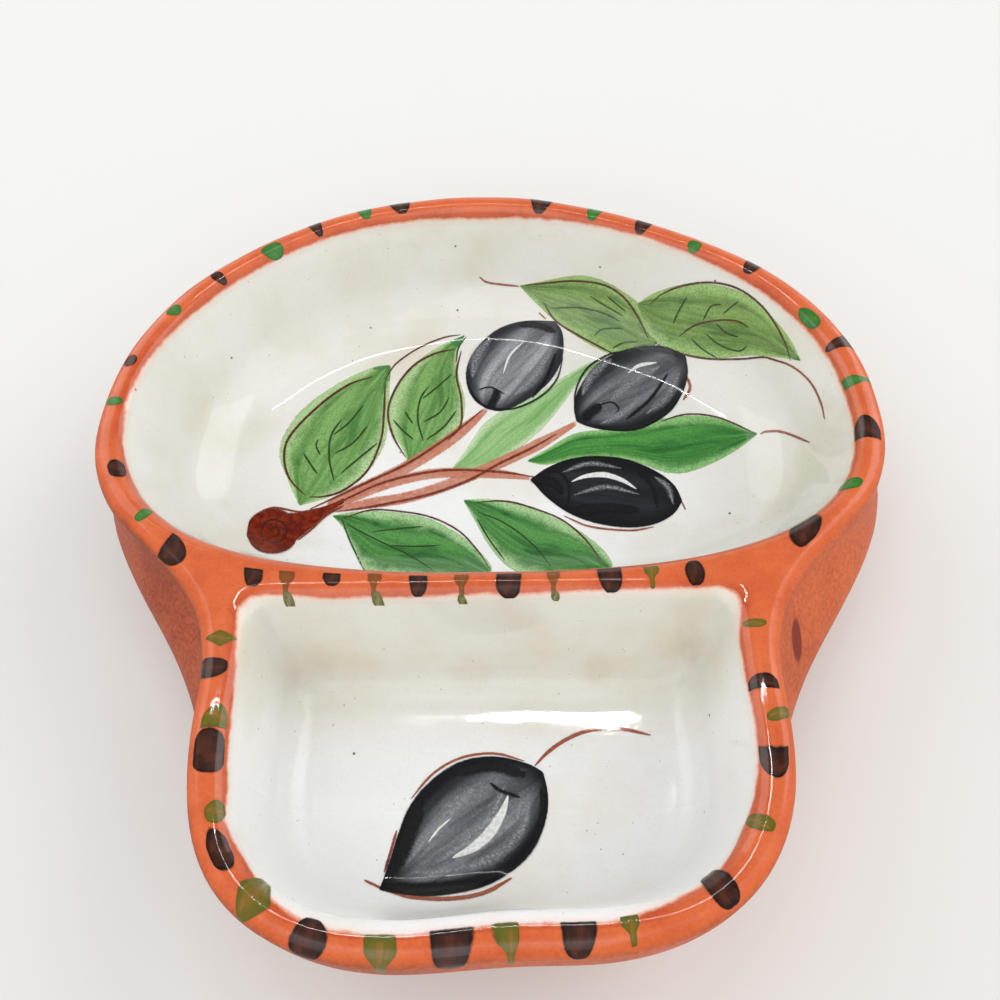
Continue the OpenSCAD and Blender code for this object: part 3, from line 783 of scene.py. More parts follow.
def slipped_clay(tree, colours):
    """Slip over clay, with the soft, uneven line where the slip thins out.
    Gives the colour, how thin the glaze is, and the wall's open grain."""
    # How far outside the slip's edge a point lies, in millimetres
    out = add_node(tree, "Attribute", out="Fac", attribute_name="slip_edge",
                   attribute_type="GEOMETRY")
    clay, thin_glaze, grain = clay_look(tree, colours, out)
    place = add_node(tree, "TexCoord", out="Object")
    ragged = add_node(tree, "TexNoise", lumps(place, 4, 4, 0.7))
    middle = add_node(tree, "Math", (out, -0.75), operation="ADD")
    ragged = add_node(tree, "Math", (ragged, 1.5, middle), operation="MULTIPLY_ADD")
    colour, edge = slip_look(tree, colours), linear(colours.slip_edge)
    for low, high, most, under in ((-2.6, -0.2, 0.24, edge), (-0.6, 0.0, 0.8, edge),
                                   (-0.25, 0.6, 1, clay)):
        bare = add_node(tree, "MapRange", (ragged, low, high, 0, most), **SMOOTH)
        colour = add_node(tree, "Mix", {0: bare, 6: colour, 7: under}, **COLOUR_MIX)
    return colour, thin_glaze, grain


def glazed_redware(colours):
    """Red earthenware, thrown or pressed and clear-glazed: glossy orange on
    the rim, where the glaze is thick, and a drier, grainy salmon wall."""
    material, tree, shader = new_material("redware_clear_glazed")
    colour, thin_glaze, grain = slipped_clay(tree, colours)
    place = add_node(tree, "TexCoord", out="Object")
    ripple = add_node(tree, "TexNoise", lumps(place, 6, 2))
    relief = add_node(tree, "Math", (ripple, 1.2, grain), operation="MULTIPLY_ADD")
    roughness = add_node(tree, "MapRange", (thin_glaze, 0, 1, 0.35, 0.6), **SMOOTH)
    coat = add_node(tree, "MapRange", (thin_glaze, 0, 1, 1.0, 0.14), **SMOOTH)
    set_surface(tree, shader, colour, roughness, coat, coat_roughness=0.06,
                height=relief, height_mm=0.05)
    return material


def glazed_slip(colours):
    """White earthenware slip under clear glaze: smooth, glossy and slightly
    warm, with iron specks burnt through. The glaze has slow waves and a finer
    orange-peel, which break up a lamp's reflection, and it is duller at the
    front of the tray."""
    material, tree, shader = new_material("white_slip_clear_glazed")
    colour, _, _ = slipped_clay(tree, colours)
    place = add_node(tree, "TexCoord", out="Object")
    waves = add_node(tree, "TexNoise", lumps(place, 9, 2))
    peel = add_node(tree, "TexNoise", lumps(place, 1.5, 2))
    relief = add_node(tree, "Math", (peel, 0.5, waves), operation="MULTIPLY_ADD")
    y = add_node(tree, "SeparateXYZ", (place,), "Y")
    dull = add_node(tree, "MapRange", (y, -78 * MM, -60 * MM, 0.4, 0.04), **SMOOTH)
    set_surface(tree, shader, colour, coat_roughness=dull, height=relief, height_mm=0.012)
    return material


def bare_redware():
    """Unglazed red earthenware of the foot: matt, with open grain."""
    material, tree, shader = new_material("redware_unglazed")
    place = add_node(tree, "TexCoord", out="Object")
    grain = add_node(tree, "TexNoise", lumps(place, 0.9, 5, 0.75))
    share = add_node(tree, "MapRange", (grain, 0.35, 0.7), **SMOOTH)
    colour = add_node(tree, "Mix", {0: share, 6: linear("#B4603F"), 7: linear("#93482E")},
                      **COLOUR_MIX)
    set_surface(tree, shader, colour, roughness=0.85, coat=0.0, height=grain, height_mm=0.08)
    return material


def mark_place(tree):
    """A mark's own UV map, and how far across and along it a point lies."""
    uv = add_node(tree, "UVMap", out="UV", uv_map="UVMap")
    across = add_node(tree, "SeparateXYZ", (uv,), "X")
    return uv, across, across.node.outputs["Y"]


def from_sides(tree, across, along):
    """How far a point lies from a mark's sides, 0 to 1, and from its ends."""
    near = []
    for share in (across, along):
        rest = add_node(tree, "Math", (1.0, share), operation="SUBTRACT")
        near.append(add_node(tree, "Math", (share, rest), operation="MINIMUM"))
    return add_node(tree, "Math", (near[0], 2), operation="MULTIPLY"), near[1]


def soft_border(tree, across, along, side=0.1, end=0.03, ragged_mm=1.2):
    """1 inside a mark and 0 at its border, with a brush's uneven edge."""
    place = add_node(tree, "TexCoord", out="Object")
    rough = add_node(tree, "TexNoise", lumps(place, ragged_mm, 3, 0.65))
    inside = []
    for near, width in zip(from_sides(tree, across, along), (side, end)):
        bite = add_node(tree, "Math", (rough, -width, 0.3 * width), operation="MULTIPLY_ADD")
        near = add_node(tree, "Math", (near, bite), operation="ADD")
        inside.append(add_node(tree, "MapRange", (near, 0.0, width), **SMOOTH))
    return add_node(tree, "Math", inside, operation="MULTIPLY")


def streaks(tree, uv, across_count, along_count, low, high, most=1, detail=3.0):
    """Streaks that a loaded brush leaves along its way."""
    way = add_node(tree, "Mapping", {"Vector": uv, "Scale": (across_count, along_count, 1)})
    drag = add_node(tree, "TexNoise", {"Vector": way, "Scale": 1.0, "Detail": detail,
                                       "Roughness": 0.6, "Distortion": 0.4})
    return add_node(tree, "MapRange", (drag, low, high, 0, most), **SMOOTH)


def leaf_wash(name, pale, mid, deep, tip, depth, tips=0.9):
    """Copper-green underglaze wash of a leaf: a pale band where the brush
    ran out at its edge, mottled and deeper inside, a dark blot at its tip."""
    material, tree, shader = new_material(name)
    uv, across, along = mark_place(tree)
    place = add_node(tree, "TexCoord", out="Object")
    from_side, _ = from_sides(tree, across, along)
    wander = add_node(tree, "TexNoise", lumps(place, 4, 3, 0.6))
    wander = add_node(tree, "Math", (wander, 0.36, -0.18), operation="MULTIPLY_ADD")
    inside = add_node(tree, "Math", (from_side, wander), operation="ADD")
    inside = add_node(tree, "MapRange", (inside, 0.12, 0.5), **SMOOTH)
    paint = add_node(tree, "Mix", {0: inside, 6: linear(pale), 7: linear(mid)}, **COLOUR_MIX)
    brushed = add_node(tree, "Math", (streaks(tree, uv, 6, 1.2, 0.4, 0.64, 0.8),
                                      streaks(tree, uv, 4, 2.6, 0.4, 0.7, detail=4)),
                       operation="MAXIMUM")
    share = add_node(tree, "Math", (inside, depth, 0.12), operation="MULTIPLY_ADD")
    share = add_node(tree, "Math", (brushed, share), operation="MULTIPLY")
    # Pigment gathered in the glaze's fine grain, and a blot at the tip
    grain = mottle(tree, place, 0.5, 2, 0.8, 0.42, 0.66, 0.5)
    blot = add_node(tree, "Math", (along, wander), operation="ADD")
    blot = add_node(tree, "MapRange", (blot, tips, tips + 0.06, 0, 0.85), **SMOOTH)
    for layer, colour in ((share, deep), (grain, deep), (blot, tip)):
        paint = add_node(tree, "Mix", {0: layer, 6: paint, 7: linear(colour)}, **COLOUR_MIX)
    border = soft_border(tree, across, along, side=0.07, end=0.015)
    alpha = add_node(tree, "Math", (border, 0.96), operation="MULTIPLY")
    set_surface(tree, shader, paint, alpha=alpha)
    return material


def olive_wash(name, grey, dark, light, coat=0.8):
    """Iron-black underglaze wash of an olive: nearly black round its edge,
    with grainy grey streaks where the wash thins over its belly."""
    material, tree, shader = new_material(name)
    uv, across, along = mark_place(tree)
    place = add_node(tree, "TexCoord", out="Object")
    from_side, from_end = from_sides(tree, across, along)
    streak = streaks(tree, uv, 5, 0.9, 0.34, 0.66)
    streak = add_node(tree, "Math", (streak, 0.7, 0.3), operation="MULTIPLY_ADD")
    grain = mottle(tree, place, 0.5, 3, 0.85, 0.38, 0.7)
    grain = add_node(tree, "Math", (grain, 0.5, 0.6), operation="MULTIPLY_ADD")
    share = add_node(tree, "MapRange", (from_side, 0.14, 0.7), **SMOOTH)
    belly_end = add_node(tree, "MapRange", (from_end, 0.04, 0.3), **SMOOTH)
    for layer in (belly_end, streak, grain):
        share = add_node(tree, "Math", (share, layer), operation="MULTIPLY")
    share = add_node(tree, "Math", (share, light), operation="MULTIPLY", use_clamp=True)
    paint = add_node(tree, "Mix", {0: share, 6: linear(dark), 7: linear(grey)}, **COLOUR_MIX)
    border = soft_border(tree, across, along, side=0.035, end=0.008, ragged_mm=0.8)
    set_surface(tree, shader, paint, coat=coat, coat_roughness=0.08, alpha=border)
    return material


def brush_line(name, full, thin, fade=0.5, side=0.5, strength=1.0, wear=0.35, grain_mm=1.0,
               coat=1.0):
    """A drawn underglaze line: full where the brush pressed, thin and broken
    where it lifted."""
    material, tree, shader = new_material(name)
    _, across, along = mark_place(tree)
    place = add_node(tree, "TexCoord", out="Object")
    dry = mottle(tree, place, grain_mm, 3, 0.7, 0.38, 0.66)
    share = add_node(tree, "Math", (dry, fade), operation="MULTIPLY")
    paint = add_node(tree, "Mix", {0: share, 6: linear(full), 7: linear(thin)}, **COLOUR_MIX)
    border = soft_border(tree, across, along, side=side, end=0.02, ragged_mm=0.7)
    worn = add_node(tree, "Math", (dry, -wear * fade, strength), operation="MULTIPLY_ADD")
    alpha = add_node(tree, "Math", (border, worn), operation="MULTIPLY")
    set_surface(tree, shader, paint, coat=coat, alpha=alpha)
    return material


def rim_dab(name, full, thin, body, strength=0.97):
    """A dab of underglaze on the rim: see-through in its middle, with a
    darker line where the wet paint dried at its edge."""
    material, tree, shader = new_material(name)
    uv, across, along = mark_place(tree)
    from_side, from_end = from_sides(tree, across, along)
    inner = add_node(tree, "Math", (from_end, 2.4), operation="MULTIPLY")
    inner = add_node(tree, "Math", (from_side, inner), operation="MINIMUM")
    place = add_node(tree, "TexCoord", out="Object")
    rough = add_node(tree, "TexNoise", lumps(place, 1.6, 4, 0.7))
    pooled = add_node(tree, "Math", (rough, 0.3, inner), operation="MULTIPLY_ADD")
    pooled = add_node(tree, "MapRange", (pooled, 0.3, 0.62), **SMOOTH)
    streak = streaks(tree, uv, 3, 1.0, 0.34, 0.66)
    streak = add_node(tree, "Math", (streak, 0.75, 0.25), operation="MULTIPLY_ADD")
    share = add_node(tree, "Math", (pooled, streak), operation="MULTIPLY")
    paint = add_node(tree, "Mix", {0: share, 6: linear(full), 7: linear(thin)}, **COLOUR_MIX)
    border = soft_border(tree, across, along, side=0.16, end=0.05, ragged_mm=1.0)
    alpha = add_node(tree, "Math", (share, body - 1.0, 1.0), operation="MULTIPLY_ADD")
    for layer in (strength, border):
        alpha = add_node(tree, "Math", (alpha, layer), operation="MULTIPLY")
    # The glaze is thin on the outer wall, under a dab too
    coat = add_node(tree, "MapRange", (along, 0.35, 0.8, 1, 0.15), **SMOOTH)
    set_surface(tree, shader, paint, coat=coat, alpha=alpha)
    return material


# The drawing

# Spots of the picture are written as in the photograph's own frame, 1000
# across and 1000 down, and are cast on to the clay from the camera.
# Each leaf: its left side, its right side, and its wash
LEAVES = {
    "leaf_1": (
        [(299, 506), (287, 480), (278, 455), (284, 431), (305, 405), (338, 383), (372, 368),
         (391, 365)],
        [(299, 506), (327, 498), (353, 486), (373, 468), (387, 442), (389, 412), (390, 388),
         (391, 365)],
        "leaf_wash_mid"),
    "leaf_2": (
        [(408, 465), (404, 452), (390, 428), (388, 408), (396, 386), (414, 363), (440, 345),
         (466, 334)],
        [(408, 465), (427, 457), (448, 444), (463, 425), (466, 401), (459, 377), (457, 353),
         (466, 334)],
        "leaf_wash_mid"),
    "leaf_3": (
        [(450, 471), (465, 451), (483, 424), (505, 408), (537, 392), (562, 377), (585, 364),
         (605, 357)],
        [(450, 471), (479, 471), (502, 462), (527, 444), (545, 428), (562, 406), (580, 381),
         (605, 357)],
        "leaf_wash_pale"),
    "leaf_4": (
        [(519, 285), (546, 280), (580, 274), (604, 279), (624, 290), (640, 303), (652, 322),
         (658, 343)],
        [(519, 285), (534, 301), (557, 324), (580, 340), (603, 352), (621, 356), (640, 352),
         (658, 343)],
        "leaf_wash_olive"),
    "leaf_5": (
        [(637, 303), (656, 291), (684, 283), (718, 283), (748, 294), (771, 314), (790, 337),
         (802, 361)],
        [(637, 303), (645, 330), (662, 347), (690, 357), (718, 360), (752, 356), (784, 358),
         (802, 361)],
        "leaf_wash_olive"),
    "leaf_6": (
        [(526, 462), (546, 450), (576, 433), (610, 428), (650, 420), (684, 415), (722, 418),
         (759, 433)],
        [(526, 462), (546, 466), (580, 459), (628, 460), (670, 474), (700, 470), (735, 452),
         (759, 433)],
        "leaf_wash_bright"),
    "leaf_7": (
        [(332, 515), (361, 510), (396, 511), (430, 518), (457, 533), (479, 552), (491, 568),
         (489, 578)],
        [(332, 515), (344, 529), (353, 550), (366, 573), (392, 579), (425, 580), (460, 580),
         (489, 578)],
        "leaf_wash_deep"),
    "leaf_8": (
        [(463, 500), (490, 499), (522, 505), (547, 514), (577, 529), (600, 546), (612, 562),
         (611, 574)],
        [(463, 500), (473, 520), (486, 545), (504, 567), (528, 577), (557, 578), (588, 577),
         (611, 574)],
        "leaf_wash_deep"),
}
# The leaves that lie over another one
UPPER_LEAVES = ("leaf_5", "leaf_6")
# Each leaf's wash: its pale edge, middle, depths and tip, how deep its core
# is, and where along the leaf its tip begins
LEAF_WASHES = {
    "leaf_wash_mid": ("#BEDCA0", "#8AB86A", "#38702C", "#2F7A3E", 0.85),
    "leaf_wash_pale": ("#CCE2BA", "#A8CE90", "#6AA356", "#6FA35A", 0.85, 2),
    "leaf_wash_olive": ("#AACE7C", "#8EB05E", "#3E6826", "#3B6A38", 0.85, 0.93),
    "leaf_wash_bright": ("#98CE82", "#56A048", "#125C1E", "#2C5B3C", 0.85, 0.97),
    "leaf_wash_deep": ("#B4DA9E", "#60A252", "#1A5A24", "#2B7A45", 0.95, 2),
}

OLIVES = {
    "olive_1": (
        [(487, 409), (474, 400), (466, 385), (466, 366), (477, 346), (498, 328), (524, 320),
         (555, 321)],
        [(487, 409), (504, 411), (528, 400), (549, 383), (561, 364), (564, 346), (562, 331),
         (555, 321)],
        "olive_wash_grey"),
    "olive_2": (
        [(577, 422), (574, 407), (578, 389), (592, 367), (614, 352), (640, 345), (666, 346),
         (686, 357)],
        [(577, 422), (589, 427), (612, 431), (640, 430), (665, 417), (681, 398), (688, 376),
         (686, 357)],
        "olive_wash_mid"),
    "olive_3": (
        [(530, 481), (546, 469), (569, 459), (597, 455), (627, 458), (656, 470), (675, 485),
         (683, 501)],
        [(530, 481), (546, 499), (569, 515), (598, 525), (629, 528), (655, 524), (674, 514),
         (683, 501)],
        "olive_wash_black"),
    "tray_olive": (
        [(379, 890), (388, 865), (397, 834), (410, 803), (433, 776), (461, 759), (494, 755),
         (527, 763), (543, 772)],
        [(379, 890), (404, 895), (438, 897), (480, 889), (509, 873), (532, 850), (545, 822),
         (548, 796), (543, 772)],
        "olive_wash_tray"),
}

# Each olive's wash: its grey and its dark, how light its belly is, its glaze
OLIVE_WASHES = {
    "olive_wash_grey": ("#B2B4BA", "#25262B", 1.2),
    "olive_wash_mid": ("#888A92", "#131418", 1.05),
    "olive_wash_black": ("#40424A", "#040508", 0.5),
    "olive_wash_tray": ("#9A9DA4", "#0A0B0F", 1.0, 0.35),
}

# The knob where the twig was cut, and the cone that runs into the stems
KNOB = (
    [(247, 536), (250, 519), (262, 509), (277, 507), (290, 514), (298, 530)],
    [(247, 536), (254, 549), (267, 556), (283, 555), (295, 546), (298, 530)])
CONE = (
    [(286, 512), (298, 512), (312, 509), (332, 503), (345, 497)],
    [(292, 546), (299, 540), (312, 528), (328, 514), (345, 502)])

# Each stem's wash: its middle line and its width
STEMS = (
    ([(326, 506), (361, 489), (405, 468), (442, 446), (470, 424), (488, 408)], 8.5),
    ([(330, 509), (370, 503), (405, 498), (442, 487), (485, 470), (523, 453), (552, 438),
      (579, 422)], 8.0),
    ([(330, 508), (370, 490), (405, 479), (440, 473), (489, 474), (515, 477), (532, 480)], 7.0),
)
# Dark brown lines drawn over the stems and the cone
STEM_LINES = (
    ([(308, 510), (361, 485), (407, 464), (442, 442), (466, 424), (484, 408)], 2.2),
    ([(322, 512), (352, 496), (385, 482), (424, 473), (457, 470), (500, 473), (538, 479)], 2.0),
    ([(333, 512), (375, 506), (424, 496), (468, 481), (500, 464), (530, 450), (560, 433)], 2.2),
    ([(298, 541), (312, 529), (327, 515), (345, 505)], 2.0),
    ([(262, 511), (276, 508), (300, 512), (320, 508)], 1.8),
)
KNOB_RINGS = (
    ([(262, 536), (264, 525), (273, 520), (284, 524), (287, 534), (280, 542), (268, 542),
      (262, 536)], 1.6),
    ([(270, 533), (273, 528), (279, 530), (278, 536), (272, 537)], 1.6),
)

# Outlines and veins of the leaves, each with its width. A vein has at most
# this many spots, and an outline more.
VEIN_SPOTS = 4
LEAF_LINES = (
    ([(307, 497), (290, 480), (284, 458), (290, 436), (318, 407), (348, 386), (374, 377)], 2.0),
    ([(385, 381), (384, 412), (381, 440), (368, 470), (345, 489), (325, 496), (307, 497)], 1.9),
    ([(334, 481), (329, 458), (331, 436), (342, 419)], 1.7),
    ([(333, 435), (349, 423), (363, 406)], 1.5),
    ([(335, 453), (353, 443), (368, 426)], 1.7),
    ([(341, 473), (359, 458), (378, 443)], 1.7),
    ([(303, 453), (310, 464), (317, 474)], 1.7),
    ([(318, 439), (316, 446), (320, 455)], 1.5),
    ([(407, 459), (393, 436), (388, 412), (396, 388), (413, 366), (435, 353), (457, 348)], 1.9),
    ([(385, 381), (396, 364), (420, 347), (444, 337), (462, 334)], 1.4),
    ([(462, 349), (456, 374), (461, 399), (461, 425), (448, 441)], 1.8),
    ([(467, 336), (459, 347), (456, 362)], 1.4),
    ([(424, 442), (418, 420), (420, 399), (429, 385)], 1.6),
    ([(422, 399), (435, 388), (452, 373)], 1.4),
    ([(424, 422), (440, 412), (449, 397)], 1.5),
    ([(427, 440), (444, 427), (457, 410)], 1.5),
    ([(393, 420), (402, 430), (414, 440)], 1.6),
    ([(405, 412), (409, 418), (413, 424)], 1.5),
    ([(523, 285), (546, 283), (576, 281), (603, 284), (622, 295), (636, 313), (649, 340)], 1.9),
    ([(543, 301), (555, 320), (576, 334), (597, 345), (615, 354)], 1.7),
    ([(551, 308), (580, 308), (603, 313), (622, 322)], 1.5),
    ([(590, 296), (606, 306), (624, 316)], 1.4),
    ([(607, 296), (617, 304), (626, 311)], 1.3),
    ([(594, 336), (603, 329), (624, 328)], 1.4),
    ([(612, 348), (624, 342), (638, 341)], 1.4),
    ([(649, 305), (661, 294), (684, 285), (711, 282), (737, 288), (760, 304), (776, 324),
      (787, 345), (792, 362)], 1.8),
    ([(652, 341), (675, 352), (707, 359), (741, 359), (766, 357), (787, 363)], 1.7),
    ([(678, 337), (695, 325), (718, 320), (737, 321), (750, 328)], 1.6),
    ([(673, 324), (679, 310), (687, 296)], 1.5),
    ([(703, 320), (711, 306), (722, 304)], 1.5),
    ([(723, 314), (731, 307), (739, 301)], 1.3),
    ([(716, 323), (727, 333), (739, 337)], 1.5),
    ([(705, 333), (720, 345), (739, 351), (748, 345)], 1.5),
    ([(691, 338), (702, 349), (718, 359)], 1.4),
    ([(660, 422), (684, 415), (711, 416), (734, 423), (757, 434)], 1.4),
    ([(341, 519), (370, 510), (396, 511), (429, 517), (457, 531), (476, 551), (491, 573)], 1.5),
    ([(342, 518), (352, 545), (366, 573)], 1.4),
    ([(345, 523), (377, 540), (410, 556), (434, 572)], 1.2),
    ([(372, 532), (400, 529), (424, 527)], 1.2),
    ([(391, 546), (414, 547), (440, 546)], 1.2),
    ([(475, 503), (504, 502), (532, 509), (562, 521), (585, 540), (602, 562)], 1.5),
    ([(476, 519), (488, 540), (504, 562)], 1.4),
    ([(476, 512), (504, 524), (533, 546), (552, 568)], 1.2),
)
TENDRILS = (
    ([(479, 277), (489, 283), (520, 286)], 1.8),
    ([(760, 434), (767, 431), (784, 432), (810, 443)], 2.2),
    ([(768, 358), (791, 365), (810, 381), (821, 402), (825, 421)], 1.9),
    ([(539, 312), (546, 319)], 1.3),
    ([(682, 501), (686, 510)], 1.4),
    ([(687, 377), (690, 389), (683, 401)], 2.6),
    ([(562, 516), (590, 527), (629, 530), (655, 526)], 1.8),
)
TRAY_LINES = (
    ([(364, 880), (379, 887), (384, 891)], 2.4),
    ([(384, 890), (412, 897), (447, 899), (482, 893), (512, 876)], 4.0),
    ([(384, 872), (392, 846), (397, 829)], 2.4),
    ([(410, 800), (433, 773), (461, 757), (494, 753), (525, 761)], 2.2),
)
TRAY_STEM = (
    ([(533, 767), (548, 752), (568, 739), (590, 731), (618, 729), (652, 736)], 3.4),
)
# White, grey and black strokes on the olives of each well: spots and width
OLIVE_LIGHTS = {
    "bowl": (
        ([(570, 483), (585, 477), (604, 475), (622, 480), (637, 489)], 3.8),
        ([(627, 373), (639, 365), (657, 362)], 2.6),
        ([(503, 374), (510, 355), (524, 341)], 1.8),
    ),
    "pit": (
        ([(508, 794), (501, 813), (488, 833), (471, 848), (451, 858)], 8.0),
        ([(428, 842), (438, 829), (451, 817)], 1.8),
    ),
}
OLIVE_GREYS = {
    "bowl": (
        ([(472, 378), (477, 356), (492, 337)], 12.0),
        ([(514, 395), (534, 377), (547, 354)], 12.0),
        ([(540, 368), (550, 352), (552, 336)], 4.0),
        ([(496, 388), (513, 370), (528, 344)], 11.0),
        ([(610, 400), (634, 380), (660, 366)], 14.0),
        ([(646, 414), (667, 396), (680, 372)], 10.0),
        ([(582, 396), (592, 374), (612, 358)], 11.0),
        ([(600, 424), (622, 414), (642, 396)], 8.0),
        ([(560, 474), (589, 464), (622, 468)], 5.0),
        ([(572, 496), (606, 487), (640, 494)], 5.0),
        ([(654, 476), (668, 487), (674, 505)], 6.0),
    ),
    "pit": (
        ([(474, 786), (446, 816), (424, 852)], 24.0),
        ([(504, 786), (492, 812), (470, 838), (436, 862)], 18.0),
        ([(530, 798), (520, 830), (490, 858), (450, 870), (410, 872)], 14.0),
    ),
}
OLIVE_DARKS = {
    "bowl": (
        ([(489, 409), (494, 400), (498, 389)], 8.5),
        ([(478, 390), (490, 387), (505, 394)], 1.6),
        ([(584, 421), (592, 412), (602, 405)], 9.5),
        ([(598, 406), (611, 402), (619, 408), (616, 413)], 1.6),
        ([(626, 420), (650, 399), (668, 373)], 3.2),
        ([(532, 398), (546, 378), (556, 352)], 3.0),
        ([(519, 324), (538, 325), (556, 332)], 6.0),
        ([(634, 348), (662, 349), (686, 357)], 5.0),
        ([(466, 372), (470, 390), (485, 406), (512, 409), (538, 398), (556, 380),
          (563, 356)], 2.0),
        ([(575, 411), (576, 390), (587, 368), (609, 354), (627, 350)], 2.0),
        ([(594, 425), (620, 430), (645, 426), (670, 411), (685, 388)], 2.0),
        ([(540, 476), (557, 472), (568, 486), (567, 506)], 3.2),
        ([(530, 481), (552, 484), (562, 496)], 8.0),
        ([(570, 512), (606, 508), (640, 510)], 9.0),
        ([(637, 470), (652, 486), (658, 508)], 4.0),
    ),
    "pit": (
        ([(386, 880), (402, 852), (412, 824), (420, 798)], 15.0),
        ([(384, 885), (420, 887), (462, 884), (496, 874)], 9.0),
        ([(489, 782), (500, 790), (520, 797)], 3.4),
        ([(452, 772), (490, 766), (526, 775)], 10.0),
        ([(541, 786), (542, 815), (531, 845), (508, 871)], 6.0),
    ),
}

# Warm stains in the slip: middle in millimetres, radius and strength
STAINS = (((47.0, -33.0, 24.0), 9.0, 0.4), ((25.0, -36.0, 15.0), 7.0, 0.3),
          ((-5.0, -36.0, 17.0), 9.0, 0.2), ((-45.0, -33.0, 18.0), 12.0, 0.2),
          ((-40.0, 88.0, 30.0), 16.0, 0.16), ((36.0, 88.0, 30.0), 16.0, 0.1),
          ((80.0, 8.0, 16.0), 9.0, 0.2))
# Where a drop of maroon paint lies on the outer wall
DRIP_PLACE = (70.2, -38.8, 32.6)

# Dabs of the rim: turn in degrees about the well's middle, where the dab
# starts and stops across the rim, from 0 at the lip's foot to 1 on the outer
# wall, its width in millimetres, its shape and how far it slants
BOWL_BROWN = (
    (109.8, 0.26, 1.0, 7.9, "cup", 0), (128.3, 0.18, 1.0, 4.7, "cup", 0),
    (149.7, 0.14, 0.66, 4.0, "cup", 0), (171.7, 0.4, 0.72, 4.3, "oval", 0),
    (-167.1, 0.16, 0.55, 6.0, "oval", 0), (-152.4, 0.32, 0.9, 6.8, "right", 0),
    (78.3, 0.16, 1.1, 8.2, "cup", 0), (54.7, 0.2, 0.9, 5.9, "cup", 0),
    (31.5, 0.24, 1.1, 4.8, "oval", 0), (10.0, 0.05, 1.2, 6.6, "wedge", 0),
    (-9.1, -0.02, 0.7, 7.4, "right", 0), (-28.3, 0.08, 0.61, 10.6, "oval", -0.4))
BOWL_GREEN = (
    (117.7, 0.28, 1.0, 5.7, "cup", 0), (138.2, 0.06, 0.6, 7.7, "cup", 0),
    (159.9, 0.3, 0.62, 5.3, "cup", 0), (180, 0.33, 0.75, 3.3, "oval", 0),
    (-157.7, 0.19, 0.62, 2.9, "oval", 0), (65.9, 0.23, 0.95, 5.4, "cup", 0),
    (42.8, 0.17, 0.58, 5.0, "cup", 0), (16.8, 0.1, 0.5, 8.4, "oval", 0),
    (2.4, 0.03, 1.1, 3.6, "drip", 0), (-17.9, 0.0, 0.53, 4.6, "oval", 0.5))
TRAY_BROWN = (
    (8.1, 0.16, 0.72, 4.4, "right", 0), (-0.2, 0.19, 0.7, 17.6, "left", 0),
    (-45.5, 0.0, 0.81, 5.6, "oval", 0), (-81.9, 0.38, 0.95, 7.2, "tongue", 0),
    (-92.7, 0.38, 1.15, 8.0, "tongue", 0), (-115.5, 0.3, 0.98, 7.0, "oval", 0),
    (-155.3, 0.28, 0.63, 8.7, "oval", 0), (180.6, 0.19, 0.72, 11.6, "oval", 0),
    (161.8, 0.34, 1.0, 5.4, "oval", 0.1))
TRAY_GREEN = (
    (33.3, 0.22, 0.59, 2.4, "oval", 0), (2.6, 0.39, 0.89, 3.0, "oval", 0.6),
    (-17.7, 0.05, 0.61, 3.3, "oval", 0), (-72.6, 0.35, 0.8, 3.6, "drip", 0),
    (-89.5, 0.36, 1.2, 6.0, "drip", 0), (-101.2, 0.4, 1.3, 6.1, "drip", 0),
    (-135.4, -0.1, 0.96, 7.4, "kite", 0.1), (-168.2, 0.19, 0.54, 4.6, "oval", 0),
    (178.7, 0.2, 0.65, 8.0, "left", 0), (150, 0.24, 0.78, 4.4, "kite", 0))
# Dabs of the divider, by their place along it in millimetres
DIVIDER_BROWN = (
    (-53.6, 0.38, 0.68, 4.8, "cap", 0), (-35.8, 0.36, 0.61, 4.5, "cap", 0),
    (-16.4, 0.32, 0.79, 4.7, "cap", 0), (4.1, 0.29, 0.87, 6.4, "cap", 0),
    (27.0, 0.24, 0.79, 6.2, "cap", 0), (46.0, 0.25, 0.71, 4.8, "oval", 0))
DIVIDER_GREEN = (
    (-45.3, 0.7, 1.07, 2.7, "oval", 0.3), (-25.4, 0.66, 1.1, 2.8, "oval", 0.3),
    (-6.4, 0.73, 1.07, 2.2, "oval", 0.3), (14.5, 0.7, 0.94, 2.2, "oval", 0.2),
    (36.3, 0.27, 0.73, 3.7, "drip", 0))
# The same greens' first faint touch, above their drips
DIVIDER_FAINT = (
    (-46.0, 0.36, 0.84, 4.0, "drip", 0), (-26.4, 0.3, 0.84, 3.6, "drip", 0),
    (-6.5, 0.3, 0.84, 3.8, "drip", 0), (14.0, 0.25, 0.84, 3.4, "drip", 0))
# A dab's points along and across it, and how its place on the rim is found:
# a small turn for slopes, the thickest rim in mm, and halvings
DAB_ROWS, DAB_LANES = 20, 10
DAB_TURN, THICKEST_RIM, DAB_HALVINGS = 0.01, 16.0, 20

# A long thin tube, which the glaze shows as a broken white line, and three
# broad boxes that only fill: place, target, width, height and watts
LAMPS = (
    ("ceiling_tube", (-0.1, 0.421, 1.2), (-0.1, 0, 0.03), 0.7, 0.011, 1.7),
    ("front_fill", (-0.4, -1.3, 1.5), (0, 0, 0.03), 1.8, 1.8, 9.4),
    ("back_left_fill", (-1.35, 1.1, 1.1), (0, 0, 0.03), 1.5, 1.5, 7.6),
    ("back_right_fill", (1.5, 0.9, 1.1), (0, 0, 0.03), 1.5, 1.5, 9.6),
)
# The way in which a well's floor mirrors the room to the camera
MIRRORED_WAY = (0, 0.45, 0.89)


